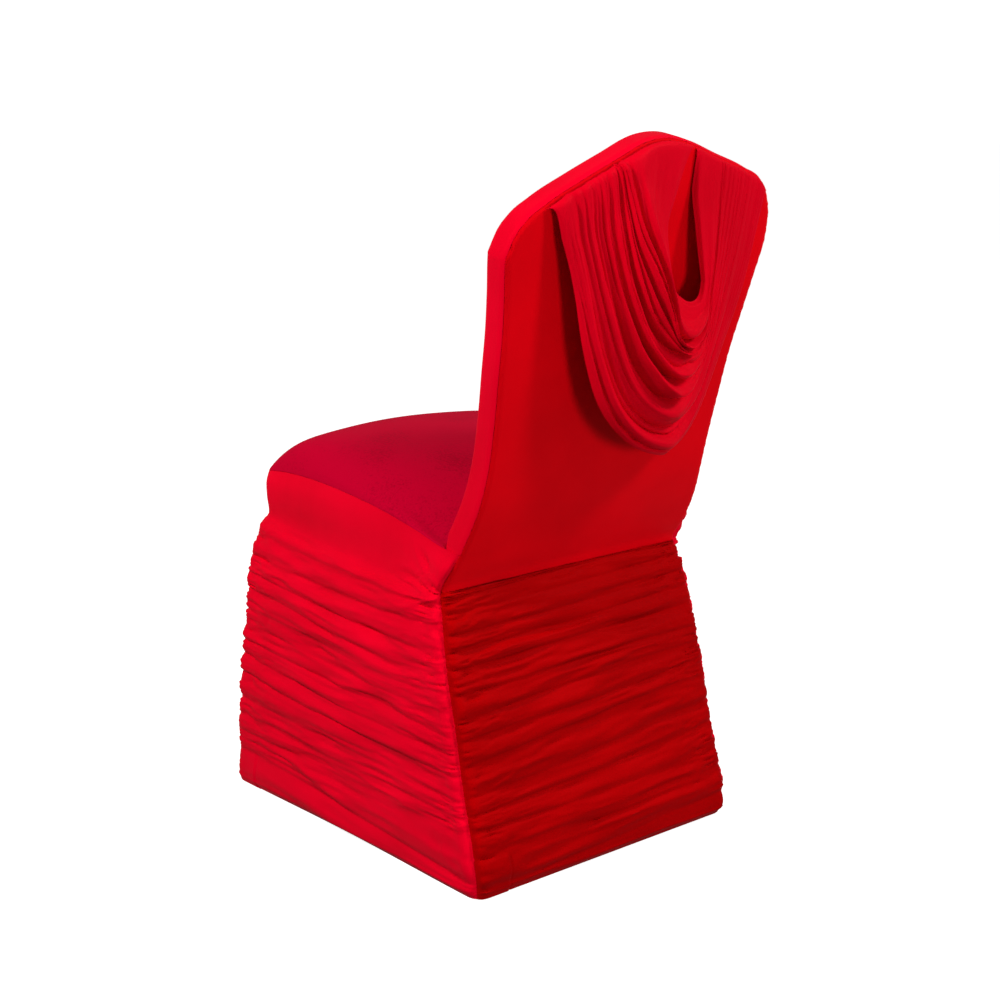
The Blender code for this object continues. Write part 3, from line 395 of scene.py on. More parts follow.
def closed_sheet(name, points, quads, material):
    """The given skin outside, the same skin one cloth inward, and a rim between them."""
    count = len(points)
    corners = points[quads]
    across = np.cross(corners[:, 2] - corners[:, 0], corners[:, 3] - corners[:, 1])
    normals = np.zeros_like(points)
    for corner in range(4):
        np.add.at(normals, quads[:, corner], across)
    inner = points - CLOTH_SHOWN * unit(normals)
    edges = np.concatenate([quads[:, [i, (i + 1) % 4]] for i in range(4)])
    forward = edges[:, 0] * count + edges[:, 1]
    backward = edges[:, 1] * count + edges[:, 0]
    rim_edges = edges[~np.isin(forward, backward)]
    start, end = rim_edges.T
    rim = np.stack([end, start, start + count, end + count], -1)
    vertices = np.concatenate([points, inner]) - np.array([0, ORIGIN_Y, 0])
    return add_mesh(name, vertices, np.concatenate([quads, quads[:, ::-1] + count, rim]), material)


def add_object(name, data):
    made = bpy.data.objects.new(name, data)
    bpy.context.scene.collection.objects.link(made)
    return made


def add_mesh(name, vertices, quads, material):
    mesh = bpy.data.meshes.new(name)
    mesh.vertices.add(len(vertices))
    mesh.vertices.foreach_set("co", np.ascontiguousarray(vertices, np.float32).ravel())
    mesh.loops.add(quads.size)
    mesh.loops.foreach_set("vertex_index", np.ascontiguousarray(quads, np.int32).ravel())
    mesh.polygons.add(len(quads))
    mesh.polygons.foreach_set("loop_start", np.arange(0, quads.size, 4, dtype=np.int32))
    mesh.update(calc_edges=True)
    mesh.validate()
    mesh.shade_smooth()
    mesh.set_sharp_from_angle(angle=SHARP_EDGE)
    mesh.materials.append(material)
    return add_object(name, mesh)


def stretched(bottom, top, left, right, u, v):
    """Grid between four curves. Rows run from bottom to top, columns from left to right."""
    u, v = u[None, :, None], v[:, None, None]
    sides = (1 - u) * left[:, None] + u * right[:, None]
    ends = (1 - v) * bottom[None] + v * top[None]
    corners = ((1 - u) * (1 - v) * bottom[0] + u * (1 - v) * bottom[-1]
               + (1 - u) * v * top[0] + u * v * top[-1])
    return sides + ends - corners


def shares_along(values):
    """Values rising or falling along a curve, as shares of its whole run."""
    return (values - values[0]) / (values[-1] - values[0])


# Skirt panels

# Corners in the order seen from above, anticlockwise: rear left, rear right, front right, front left
CORNER_SIDE = (1, -1, -1, 1)
CORNER_REAR = (True, True, False, False)
CORNER_HALF = ("left", "right", "half", "half")
CORNER_HEM = (HEM_REAR, HEM_REAR, HEM_FRONT, HEM_FRONT)


def corner_seam(index, height):
    """Plan position of one corner seam at the given heights."""
    seam = REAR_SEAM if CORNER_REAR[index % 4] else FRONT_SEAM
    half = smooth(height, seam["height"], seam[CORNER_HALF[index % 4]])
    y = smooth(height, seam["height"], seam["y"])
    return np.stack([CORNER_SIDE[index % 4] * half, y], -1)


def corner_point(index, height):
    """Where the two panels would meet without rounding: the seam lies half way round the curve."""
    outward = np.array([CORNER_SIDE[index % 4], 1.0 if CORNER_REAR[index % 4] else -1.0])
    return corner_seam(index, height) + SKIRT_ROUNDING / 4 * outward


def skirt_base(panel, share, height):
    """Point of the smooth skirt: share 0 to 1 from one corner seam of the panel to the next."""
    start, end = corner_point(panel, height), corner_point(panel + 1, height)
    before, after = corner_point(panel - 1, height), corner_point(panel + 2, height)
    length = np.linalg.norm(end - start, axis=-1, keepdims=True)
    share = np.asarray(share)[..., None]
    along = (end - start) / length
    outward = np.stack([along[..., 1], -along[..., 0]], -1)
    kind = ("rear", "side", "front", "side")[panel]
    bow = smooth(height, PANEL_BOW["height"], PANEL_BOW[kind])[..., None]
    flat = start + (end - start) * share + outward * bow * np.sin(math.pi * np.clip(share, 0, 1)) ** 2

    def rounded(corner, neighbour, direction, distance):
        t = 0.5 + 0.5 * distance / SKIRT_ROUNDING
        from_point = corner + unit(neighbour - corner) * SKIRT_ROUNDING
        to_point = corner + direction * SKIRT_ROUNDING
        return (1 - t) ** 2 * from_point + 2 * t * (1 - t) * corner + t ** 2 * to_point

    from_start, from_end = share * length, (1 - share) * length
    plan = np.where(from_start < SKIRT_ROUNDING, rounded(start, before, along, from_start), flat)
    plan = np.where(from_end < SKIRT_ROUNDING, rounded(end, after, -along, from_end), plan)
    return np.concatenate([plan, np.broadcast_to(np.asarray(height)[..., None], plan[..., :1].shape)], -1)


def skirt_normal(panel, share, height):
    step = 0.0005
    along = skirt_base(panel, share + step, height) - skirt_base(panel, share - step, height)
    up = skirt_base(panel, share, height + step) - skirt_base(panel, share, height - step)
    return unit(np.cross(along, up))


def crease_heights(creases, share):
    """Height of every crease at the given shares of the panel: one row for each crease."""
    knots = np.stack([creases[name] for name in CREASE_NAMES], -1)
    return np.array([smooth(share, CREASE_PLACES, row) for row in knots])


def crease_relief(creases, share):
    knots = np.stack([creases[name] for name in RELIEF_NAMES], -1)
    fade = ramp(share / RELIEF_FADE) * ramp((1 - share) / RELIEF_FADE)
    return np.array([np.interp(share, RELIEF_PLACES, row) for row in knots]) * fade


def fold_rows(creases, shares, top, hem):
    """Rows of the grid from the hem up: heights, how far the main folds stand out, and even levels."""
    lines = crease_heights(creases, shares)
    relief = crease_relief(creases, shares)
    upper, upper_relief, upper_level = top, np.zeros_like(shares), TOP_LEVEL
    heights, stand_off, levels = [], [], []
    for line, line_relief in list(zip(lines, relief)) + [(hem, relief[-1] * HEM_FOLD)]:
        level = float(line.mean())
        last = line is hem
        for t in np.linspace(0, 1, ROWS_PER_FOLD + 1)[:None if last else -1]:
            ridge = math.sin(math.pi * t ** RIDGE_SKEW) ** RIDGE_FULLNESS if 0 < t < 1 else 0.0
            heights.append(upper * (1 - t) + line * t)
            stand_off.append((upper_relief * (1 - t) + line_relief * t) * ridge)
            levels.append(np.full_like(shares, upper_level * (1 - t) + level * t))
        upper, upper_relief, upper_level = line, line_relief, level
    return np.array(heights)[::-1], np.array(stand_off)[::-1], np.array(levels)[::-1], lines[-1]


def panel_width(panel):
    """Width of a panel half way up the skirt."""
    across = corner_point(panel + 1, SKIRT_MIDDLE) - corner_point(panel, SKIRT_MIDDLE)
    return float(np.linalg.norm(across))


def fine_skirt_grid(panel, creases, top_height, smooth_above, patches, seed):
    """Fine grid of a ruched panel: main folds, folds between them and fine gathers at the seams."""
    width = panel_width(panel)
    inside = np.linspace(0, 1, PANEL_COLUMNS)
    shares = inside - COLUMN_CROWDING * np.sin(2 * math.pi * inside)
    hem = CORNER_HEM[panel] + (CORNER_HEM[(panel + 1) % 4] - CORNER_HEM[panel]) * shares
    heights, stand_off, levels, last_crease = fold_rows(creases, shares, top_height(shares), hem)
    wide = np.broadcast_to(shares, heights.shape)
    from_start, from_end = wide * width, (1 - wide) * width
    near = np.minimum(from_start, from_end)
    gathers = ridges(near / GATHER_LENGTH + 40 * (from_start > from_end), levels / GATHER_PITCH, seed)
    folds = ridges(from_start / FOLD_LENGTH, levels / FOLD_PITCH, seed + 5)
    broad = ridges(from_start / BROAD_LENGTH + 5, levels / BROAD_PITCH, seed + 9)
    ruched = ramp((smooth_above(wide) - heights) / RUCHED_FADE) * ramp((heights - hem) / HEM_FADE)
    calm = HEM_CALM + (1 - HEM_CALM) * ramp((heights - last_crease) / RUCHED_FADE)
    at_seam = np.exp(-(near / GATHER_REACH) ** GATHER_FALL)
    patchy = lattice_noise(from_start / UNEVEN_LENGTH + 3, levels / UNEVEN_HEIGHT, seed + 13)
    stand_off = stand_off * (SMOOTH_SHARE + (1 - SMOOTH_SHARE) * ruched)
    stand_off *= UNEVEN_LEAST + UNEVEN_RANGE * patchy
    stand_off *= SEAM_SHARE + (1 - SEAM_SHARE) * ramp(near / SEAM_CALM)
    stand_off = stand_off + ruched * calm * (GATHER_DEPTH * gathers * at_seam
                                             + FOLD_DEPTH * folds * (1 - 0.5 * at_seam)
                                             + BROAD_DEPTH * broad * (1 - at_seam))
    below_top = ramp((heights[-1] - heights) / FAN_TOP_FADE)
    stand_off += waist_fan(panel, from_start, from_end, heights, seed) * below_top
    normals = skirt_normal(panel, wide, heights)
    for corner, distance in ((panel, from_start), ((panel + 1) % 4, from_end)):
        at_corner = np.exp(-(distance / GROOVE_WIDTH) ** 2)
        stand_off += (seam_pucker(corner, heights) * ruched - stand_off) * at_corner
        at_corner = at_corner[..., None]
        normals = unit(normals * (1 - at_corner) + corner_outward(corner) * at_corner)
    stand_off += hem_band(heights - hem)
    for start, reach in patches:
        stand_off += patch(from_start if start else from_end, heights - hem, reach)
    grid = skirt_base(panel, wide, heights) + normals * stand_off[..., None]
    grid[..., 2] += GATHER_SAG * ruched * (gathers - 0.5) * at_seam
    for edge, neighbour in ((0, 1), (-1, -2)):
        grid[:, edge] += SEAM_OVERLAP * unit(grid[:, edge] - grid[:, neighbour])
    return grid


def seam_pucker(corner, heights):
    """How far a corner seam stands out: small puckers, drawn in between the gathers."""
    puckers = ridges(np.zeros_like(heights), heights / GATHER_PITCH, 200 + corner)
    return SEAM_PUCKER * puckers - SEAM_GROOVE


def corner_outward(corner):
    """The way out of a corner, midway between the normals of its two panels."""
    middle = np.array([SKIRT_MIDDLE])
    before = skirt_normal((corner + 3) % 4, np.array([1.0]), middle)[0]
    after = skirt_normal(corner, np.array([0.0]), middle)[0]
    return unit(before + after)


def waist_fan(panel, from_start, from_end, heights, seed):
    """Folds that spread over a side panel from its corner with the rear waist."""
    if panel not in (1, 3):
        return 0.0
    across = (from_end if panel == 3 else from_start) + FAN_CENTRE[0]
    rise = heights - (WAIST - FAN_CENTRE[1])
    reach = np.hypot(across, rise)
    angle = np.arctan2(rise, across)
    rays = FAN_DEPTH * ridges(reach / FAN_LENGTH + 11, angle * FAN_RAYS + 20, seed + 31) ** 1.5
    rays *= np.exp(-(reach / FAN_REACH) ** 2) * ramp(reach / FAN_CENTRE_FADE)
    return rays * ramp((angle - FAN_LOWEST) / FAN_ANGLE_FADE)


def hem_band(above):
    """The turned-up hem: a little thicker, with its row of stitches drawn in."""
    band = HEM_RISE * ramp((HEM_BAND - above) / HEM_BAND_FADE + 0.5)
    return band - HEM_STITCH * np.exp(-((above - HEM_BAND) / HEM_STITCH_WIDTH) ** 2)


def patch(along, above, reach):
    """Square of doubled cloth over a foot, with stitched edges."""
    edge = np.minimum(reach - along, reach - above)
    square = PATCH_RISE * ramp(edge / PATCH_FADE)
    beside = (along < reach + PATCH_BESIDE) * (above < reach + PATCH_BESIDE)
    return square - PATCH_STITCH * np.exp(-(edge / PATCH_STITCH_WIDTH) ** 2) * beside


def side_top(panel, shares):
    """Height of a side panel's top edge, which follows the seat seam along y."""
    y = skirt_base(panel, shares, np.full_like(shares, SEAT_LEVEL))[..., 1]
    return smooth(y, SEAT_SEAM["y"], SEAT_SEAM["height"])


def right_creases():
    """The left panel runs from front to rear; the right one is its mirror."""
    return {name: SIDE_CREASES[source] for name, source in MIRRORED.items()}


def front_creases():
    """The hidden front repeats the rear's creases the other way round, raised to its higher waist."""
    lift = (FRONT_SEAM["height"][7] - WAIST) / WAIST
    creases = {name: REAR_CREASES[MIRRORED[name]] * (1 + lift) for name in CREASE_NAMES}
    creases.update({name: REAR_CREASES[name] for name in RELIEF_NAMES})
    return creases


def dress_skirt(side, rear):
    """The four ruched panels, in the order of their corners: name, number, creases, height of the top
    edge, height above which it is smooth, foot patches (at the panel's start or end, and size), cloth.
    """
    grids = {}
    smooth_rear, smooth_front = SMOOTH_SIDE
    # rear is a darker copy of the cloth for the rear skirt: painted shade of its gathered folds.
    plan = (
        ("skirt_rear", 0, REAR_CREASES, lambda s: np.full_like(s, WAIST),
         lambda s: np.full_like(s, SMOOTH_REAR), ((True, FOOT_PATCH_REAR),), rear),
        ("skirt_right", 1, right_creases(), lambda s: side_top(1, s) - SEAM,
         lambda s: smooth_rear + (smooth_front - smooth_rear) * s, ((False, FOOT_PATCH_REAR),), side),
        ("skirt_front", 2, front_creases(),
         lambda s: SEAT_SEAM["height"][0] + FRONT_TOP_BOW * np.sin(math.pi * s) - SEAM,
         lambda s: np.full_like(s, SMOOTH_FRONT), (), side),
        ("skirt_left", 3, SIDE_CREASES, lambda s: side_top(3, s) - SEAM,
         lambda s: smooth_front + (smooth_rear - smooth_front) * s, ((True, FOOT_PATCH_FRONT),), side),
    )
    for number, (name, panel, creases, top, smooth_above, patches, material) in enumerate(plan):
        grid = fine_skirt_grid(panel, creases, top, smooth_above, patches, 20 * number + 3)
        piece = cloth_mesh(name + "_cloth", grid, material)
        grids[name] = grid
        finish_piece(piece, name)
    return grids


# Backrest: a leaning slab with rounded edges, given by x, height on its rear seam and depth forward

def lean(height):
    """Slope of the rear seam in side view."""
    step = 0.004
    rise = (smooth(height + step, REAR_SEAM["height"], REAR_SEAM["y"])
            - smooth(height - step, REAR_SEAM["height"], REAR_SEAM["y"]))
    return np.arctan(rise / (2 * step))


def rearward(height):
    """Normal of the rear face."""
    angle = lean(height)
    return np.stack([np.zeros_like(angle), np.cos(angle), -np.sin(angle)], -1)


def upward(height):
    angle = lean(height)
    return np.stack([np.zeros_like(angle), np.sin(angle), np.cos(angle)], -1)


def back_point(x, height, depth):
    """Point of the slab: the rear seam lies at a depth of SEAM_INSET roundings."""
    x, height, depth = np.broadcast_arrays(np.asarray(x, float), height, depth)
    y = smooth(height, REAR_SEAM["height"], REAR_SEAM["y"])
    base = np.stack([x, y, height], -1)
    return base - rearward(height) * (depth - SEAM_INSET * REAR_ROUNDING)[..., None]


def outline(side_heights_left, side_heights_right, crown_shares):
    """Seam outline of the back in slab coordinates, up the left, over the crown, down the right."""
    left = np.stack([smooth(side_heights_left, REAR_SEAM["height"], REAR_SEAM["left"]),
                     side_heights_left], -1)
    right = np.stack([-smooth(side_heights_right, REAR_SEAM["height"], REAR_SEAM["right"]),
                      side_heights_right], -1)[::-1]
    x = SHOULDER_HALF * crown_shares
    crown = np.stack([x, smooth(x, CROWN["x"], CROWN["height"])], -1)
    return np.concatenate([left[:-1], crown, right[1:]])


def outline_normals(points):
    along = np.gradient(points, axis=0)
    return unit(np.stack([along[:, 1], -along[:, 0]], -1))


def close_to_ends(values, tips):
    """The values from 0 to 1, with extra ones close to both ends."""
    return np.array(sorted(list(values) + list(tips) + [1 - tip for tip in tips]))


def back_outline(bottom, side_count=60, crown_count=90):
    """Seam outline from the given height, with its points for the sides and for the crown."""
    crown = close_to_ends(np.linspace(0, 1, crown_count), SHOULDER_TIPS)
    side = np.array(sorted(list(np.linspace(0, 1, side_count)) + [1 - tip for tip in SHOULDER_TIPS]))
    below = np.linspace(bottom, SHOULDER_OF_SKIRT, 9)[:-1] if bottom < SHOULDER_OF_SKIRT else np.array([])
    left = np.concatenate([below, SHOULDER_OF_SKIRT + side * (SHOULDER_LEFT - SHOULDER_OF_SKIRT)])
    right = np.concatenate([below, SHOULDER_OF_SKIRT + side * (SHOULDER_RIGHT - SHOULDER_OF_SKIRT)])
    return outline(left, right, 1 - 2 * crown), len(left), len(crown)


def edge_distance(x, height, dense):
    """Distance to the seam outline and the direction towards it, in slab coordinates."""
    flat = np.stack([x.ravel(), height.ravel()], -1)
    normals = outline_normals(dense)
    away, towards = np.empty(len(flat)), np.empty((len(flat), 2))
    batch = 4000
    for start in range(0, len(flat), batch):
        part = flat[start:start + batch]
        apart = np.linalg.norm(dense[None] - part[:, None], axis=-1)
        nearest = apart.argmin(axis=1)
        away[start:start + batch] = apart[np.arange(len(part)), nearest]
        towards[start:start + batch] = normals[nearest]
    return away.reshape(x.shape), towards.reshape(x.shape + (2,))


def rear_depth(distance):
    """Depth of the rear panel at a distance inside its seam: an arc, then the flat face."""
    left_over = np.clip(REAR_ROUNDING * HALF_ARC - distance, 0, None)
    return REAR_ROUNDING - np.sqrt(REAR_ROUNDING ** 2 - left_over ** 2)


def slab_normal(height, outward, angle):
    """Normal of the rounded edge, from the rear face (angle 0) to the side (90 degrees)."""
    side = outward[..., :1] * np.array([1.0, 0, 0]) + outward[..., 1:] * upward(height)
    return unit(np.cos(angle)[..., None] * rearward(height) + np.sin(angle)[..., None] * side)


def dense_outline():
    return back_outline(WAIST, side_count=180, crown_count=320)[0]


def rear_surface(x, height):
    """Point and normal of the rear panel's outer face."""
    distance, towards = edge_distance(x, height, dense_outline())
    angle = np.arcsin(np.clip(REAR_ROUNDING * HALF_ARC - distance, 0, None) / REAR_ROUNDING)
    return back_point(x, height, rear_depth(distance)), slab_normal(height, towards, angle)


def dress_rear_panel(material):
    points, side_count, crown_count = back_outline(WAIST, side_count=70, crown_count=90)
    left = points[:side_count]
    crown = points[side_count - 1:side_count - 1 + crown_count]
    right = points[side_count + crown_count - 2:][::-1]
    bottom = np.stack([crown[:, 0] * left[0, 0] / crown[0, 0], np.full(crown_count, WAIST)], -1)
    bottom[0], bottom[-1] = left[0], right[0]
    plan = stretched(bottom, crown, left, right, shares_along(bottom[:, 0]), shares_along(left[:, 1]))
    grid, normals = rear_surface(plan[..., 0], plan[..., 1])
    x, height = plan[..., 0], plan[..., 1]
    pull = ramp(1 - (height - WAIST) / REAR_PULL_REACH)
    slanted = (height - REAR_PULL_SLANT * np.abs(x)) / REAR_PULL_PITCH
    creases = ridges(x / REAR_PULL_LENGTH + 20, slanted, 71)
    grid = grid + normals * (REAR_PULL_DEPTH * pull * creases)[..., None]
    piece = cloth_mesh("back_rear_cloth", grid[:, ::-1], material)
    finish_piece(piece, "back_rear_panel")


def band_sections():
    """Cross-section of the band: outward offset from the seam, and depth."""
    sections = []
    for angle in np.radians(np.linspace(45, 90, 7)):
        sections.append((REAR_ROUNDING * (math.sin(angle) - HALF_ARC),
                         REAR_ROUNDING * (1 - math.cos(angle))))
    full = REAR_ROUNDING * SEAM_INSET
    straight = BACK_THICKNESS - FRONT_ROUNDING - REAR_ROUNDING
    for share in (0.33, 0.67):
        sections.append((full, REAR_ROUNDING + straight * share))
    for turn in np.radians(np.linspace(0, 90, 9)):
        sections.append((full - FRONT_ROUNDING * (1 - math.cos(turn)),
                         BACK_THICKNESS - FRONT_ROUNDING * (1 - math.sin(turn))))
    return sections


def build_front_panel():
    """Band round the sides and the top, and the front of the backrest, in one piece of cloth."""
    points, side_count, crown_count = back_outline(SHOULDER_OF_SKIRT)
    outward = outline_normals(points)
    outward[0], outward[-1] = (1, 0), (-1, 0)
    rows = np.array([back_point(points[:, 0] + outward[:, 0] * offset,
                                points[:, 1] + outward[:, 1] * offset, depth)
                     for offset, depth in band_sections()])
    seat_line = smooth(rows[:, 0, 1], SEAT_SEAM["y"], SEAT_SEAM["height"]) - BAND_TUCK
    rows[:, 0, 2] = seat_line
    rows[:, -1, 2] = seat_line
    rim = rows[-1]
    left, crown = rim[:side_count], rim[side_count - 1:side_count - 1 + crown_count]
    right = rim[side_count + crown_count - 2:][::-1]
    share = (crown[:, 0] - crown[0, 0]) / (crown[-1, 0] - crown[0, 0])
    bottom = left[0] + (right[0] - left[0]) * share[:, None]
    bottom[:, 2] += SEAT_REAR_RISE * np.sin(math.pi * share)
    rise = bottom[:, 2] - left[0, 2]
    bottom[:, 1] += rise * math.tan(float(lean(np.array(SEAT_LEVEL))))
    face = stretched(bottom, crown, left, right, share, shares_along(left[:, 2]))
    return rows, face, side_count, crown_count


def dress_front_panel(material):
    """Band and front face as one fine mesh. Returns its lower edge for the seat."""
    rows, face, side_count, crown_count = build_front_panel()
    band_rows, band_columns = rows.shape[:2]
    points = list(rows.reshape(-1, 3))
    rim_start = (band_rows - 1) * band_columns
    index = np.full(face.shape[:2], -1)
    index[:side_count, 0] = rim_start + np.arange(side_count)
    index[:side_count, -1] = rim_start + band_columns - 1 - np.arange(side_count)
    index[-1] = rim_start + side_count - 1 + np.arange(crown_count)
    for r in range(face.shape[0]):
        for c in range(face.shape[1]):
            if index[r, c] < 0:
                index[r, c] = len(points)
                points.append(face[r, c])
    band = np.arange(band_rows * band_columns).reshape(band_rows, band_columns)
    quads = np.concatenate([grid_quads(band, turned=True), grid_quads(index)])
    piece = closed_sheet("back_front_cloth", np.array(points), quads, material)
    finish_piece(piece, "back_front_panel")
    return rows[:, 0], face[0], rows[:, -1]


# Seat

def resampled(curve, shares):
    """The same curve with points at the given shares of its length."""
    steps = np.linalg.norm(np.diff(curve, axis=0), axis=1)
    along = np.concatenate([[0], np.cumsum(steps)])
    return np.stack([np.interp(shares * along[-1], along, curve[:, i]) for i in range(3)], -1)


def dress_seat(skirt, back_edge, material):
    """Crowned seat top between the side seams, the front seam and the backrest."""
    left, middle, right = back_edge
    rear = np.concatenate([left[BAND_SEAT_SECTION:-1], middle, right[BAND_SEAT_SECTION:-1][::-1]])
    across = np.linspace(0, 1, SEAT_STEPS)
    rear = resampled(rear - np.array([0, LOOSE_SEAM, LOOSE_SEAM]), across)
    crowded = (1 - np.cos(math.pi * across)) / 2
    rows = 0.5 * crowded + 0.5 * across
    sides = []
    for name, end in (("skirt_left", rear[0]), ("skirt_right", rear[-1])):
        top = skirt[name][-1] + np.array([0, 0, 2 * SEAM])
        top = top[np.argsort(top[:, 1])]
        sides.append(resampled(np.vstack([top[top[:, 1] < end[1] - CLOTH], end]), rows))
    front = resampled(skirt["skirt_front"][-1][::-1] + np.array([0, 0, 2 * SEAM]), across)
    front[0], front[-1] = sides[0][0], sides[1][0]
    grid = stretched(front, rear, sides[0], sides[1], across, rows)
    squareness = SEAT_SIDE_POWER + SEAT_SHOULDER * (1 - rows[:, None]) ** 3
    side_rise = 1 - np.abs(2 * across - 1)[None, :] ** squareness
    front_rise = 1 - (1 - rows[:, None]) ** SEAT_FRONT_POWER
    rear_fall = 1 - rows[:, None] ** SEAT_REAR_POWER
    grid[..., 2] += SEAT_CROWN * side_rise * front_rise * rear_fall
    piece = cloth_mesh("seat_cloth", grid[:, ::-1], material)
    finish_piece(piece, "seat_panel")


# Swag

def dress_swag(material):
    """The swag: pleats, one wide fold under the open cowl and fine wrinkles along them."""
    numbers = np.array(sorted(SWAG_LINES), float)
    lines = np.linspace(0, numbers[-1], int(numbers[-1]) * SWAG_ROWS_PER_LINE + 1)
    stations = np.linspace(SWAG_STATIONS[0], SWAG_STATIONS[-1], SWAG_COLUMNS)
    values = {}
    for name in ("x", "height", "off"):
        curves = np.array([smooth(stations, SWAG_STATIONS, key_line(number)[name])
                           for number in sorted(SWAG_LINES)])
        values[name] = np.array([smooth(lines, numbers, curve) for curve in curves.T]).T
    line, station = np.meshgrid(lines, stations, indexing="ij")
    sewn = ramp(np.abs(station) - (SWAG_STATIONS[-1] - 1))
    crown = smooth(values["x"], CROWN["x"], CROWN["height"]) - SWAG_SEAM_INSET
    height = values["height"] + (crown - values["height"]) * sewn
    depth = smooth(station, SWAG_STATIONS, SWAG_PLEATS)
    uneven = SWAG_WANDER * (lattice_noise(station / 2.5 + 30, line / 1.7, 91) - 0.5)
    phase = line + uneven * ramp(line - 1) - SWAG_FIRST_PLEAT
    wave = 2 * np.abs(np.cos(math.pi / 2 * phase)) ** SWAG_PLEAT_SHAPE - 1
    thin_phase = SWAG_THIN_RATE * phase + uneven + 0.6
    thin = 2 * np.abs(np.cos(math.pi / 2 * thin_phase)) ** SWAG_THIN_SHAPE - 1
    share = SWAG_THIN_SHARE * ramp(2 * lattice_noise(station / 3.1 + 7, line / 2.3, 97) - 0.3)
    fullness = 0.6 + 0.8 * lattice_noise(station / 2.1 + 50, line / 1.9, 93)
    wave = fullness * (wave * (1 - share) + thin * share)
    off = values["off"] + depth * wave * ramp(line - SWAG_FIRST_PLEAT + 1)
    free = 1 - sewn
    still = 1 - 0.7 * ramp((station - 1) / 3)
    wrinkles = ridges(station / 2.2 + 11, line / 0.42, 95) - 0.5
    off += SWAG_WRINKLE * free * still * wrinkles * ramp(line / 2)
    off -= LIP_ROLL * free * (1 - ramp(line / 0.35) + 0.5 * ramp((line - 14.7) / 0.3))
    distance, _ = edge_distance(values["x"], height, dense_outline())
    grid = back_point(values["x"], height, rear_depth(distance)) + rearward(height) * off[..., None]
    piece = cloth_mesh("swag_cloth", grid[::-1], material)
    finish_piece(piece, "back_drape")


def key_line(number):
    """One main line of the swag, with its two ends on the crown seam."""
    line = {name: column.copy() for name, column in SWAG_LINES[number].items()}
    for end in (0, -1):
        line["height"][end] = smooth(line["x"][end], CROWN["x"], CROWN["height"]) - SWAG_SEAM_INSET
    return line


# Looks

SHEEN_RED = (1.0, 0.02, 0.06, 1.0)


def set_inputs(node, values):
    for entry, value in values.items():
        node.inputs[entry].default_value = value


def add_node(material, kind, values, **sources):
    """A shader node with its values, linked from the given outputs."""
    node = material.node_tree.nodes.new(kind)
    set_inputs(node, values)
    for entry, output in sources.items():
        material.node_tree.links.new(output, node.inputs[entry])
    return node


def knit(name, color, dark, rough, grain, weave=620.0):
    """Fine stretch knit: a tight woven bump, slightly mottled colour and a soft sheen."""
    material = bpy.data.materials.new(name)
    material.use_nodes = True
    shader, links = material.node_tree.nodes["Principled BSDF"], material.node_tree.links
    set_inputs(shader, {"Specular IOR Level": 0.06, "Specular Tint": SHEEN_RED, "Sheen Weight": 0.05,
                        "Sheen Roughness": 0.5, "Sheen Tint": SHEEN_RED})
    place = add_node(material, "ShaderNodeTexCoord", {}).outputs["Object"]
    mottle = add_node(material, "ShaderNodeTexNoise", {"Scale": 9.0, "Detail": 4.0}, Vector=place)
    yarn = add_node(material, "ShaderNodeTexNoise", {"Scale": weave, "Detail": 2.0}, Vector=place)
    yarn = yarn.outputs["Fac"]
    mix = add_node(material, "ShaderNodeMath", {1: grain})
    mix.operation = "MULTIPLY_ADD"
    links.new(yarn, mix.inputs[0])
    links.new(mottle.outputs["Fac"], mix.inputs[2])
    colors = add_node(material, "ShaderNodeValToRGB", {}, Fac=mix.outputs["Value"])
    for element, position, shade in zip(colors.color_ramp.elements, (0.25, 0.85), (dark, color)):
        element.position = position
        element.color = shade
    links.new(colors.outputs["Color"], shader.inputs["Base Color"])
    uneven = {"To Min": rough - 0.06, "To Max": rough + 0.06}
    roughness = add_node(material, "ShaderNodeMapRange", uneven, Value=yarn)
    links.new(roughness.outputs["Result"], shader.inputs["Roughness"])
    ribs = add_node(material, "ShaderNodeTexWave", {"Scale": 260.0, "Distortion": 1.5}, Vector=place)
    ribs.bands_direction = "Z"
    bump_yarn = add_node(material, "ShaderNodeBump", {"Strength": 0.22, "Distance": 0.0006}, Height=yarn)
    bump_ribs = add_node(material, "ShaderNodeBump", {"Strength": 0.12, "Distance": 0.0004},
                         Height=ribs.outputs["Fac"], Normal=bump_yarn.outputs["Normal"])
    links.new(bump_ribs.outputs["Normal"], shader.inputs["Normal"])
    return material


def finish_piece(piece, node):
    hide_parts(node)
    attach(piece, "root")


# Studio

CAMERA_PLACE = (1.5684, 1.8697, 1.0297)
CAMERA_TURN = 139.8446
CAMERA_DROP = 13.4575
FOCAL_PIXELS = 1818.89
PHOTO_PIXELS = 1000


def stage_surface(name, points, faces, finish, values, unseen):
    """Part of the set with a plain material of its own, left out for the given kinds of light ray."""
    mesh = bpy.data.meshes.new(name)
    mesh.from_pydata(points, [], faces)
    surface = add_object(name, mesh)
    material = bpy.data.materials.new(finish)
    material.use_nodes = True
    set_inputs(material.node_tree.nodes["Principled BSDF"], values)
    mesh.materials.append(material)
    for flag in unseen:
        setattr(surface, flag, False)


def build_floor():
    side, level = 30.0, -0.0005
    corners = [(-side, -side, level), (side, -side, level), (side, side, level), (-side, side, level)]
    values = {"Base Color": (0.70, 0.70, 0.70, 1.0), "Roughness": 0.9, "Specular IOR Level": 0.1,
              "Emission Color": (1.0, 1.0, 1.0, 1.0), "Emission Strength": 0.87}
    stage_surface("floor", corners, [(0, 1, 2, 3)], "pale_floor", values,
                  ("visible_diffuse", "visible_glossy"))


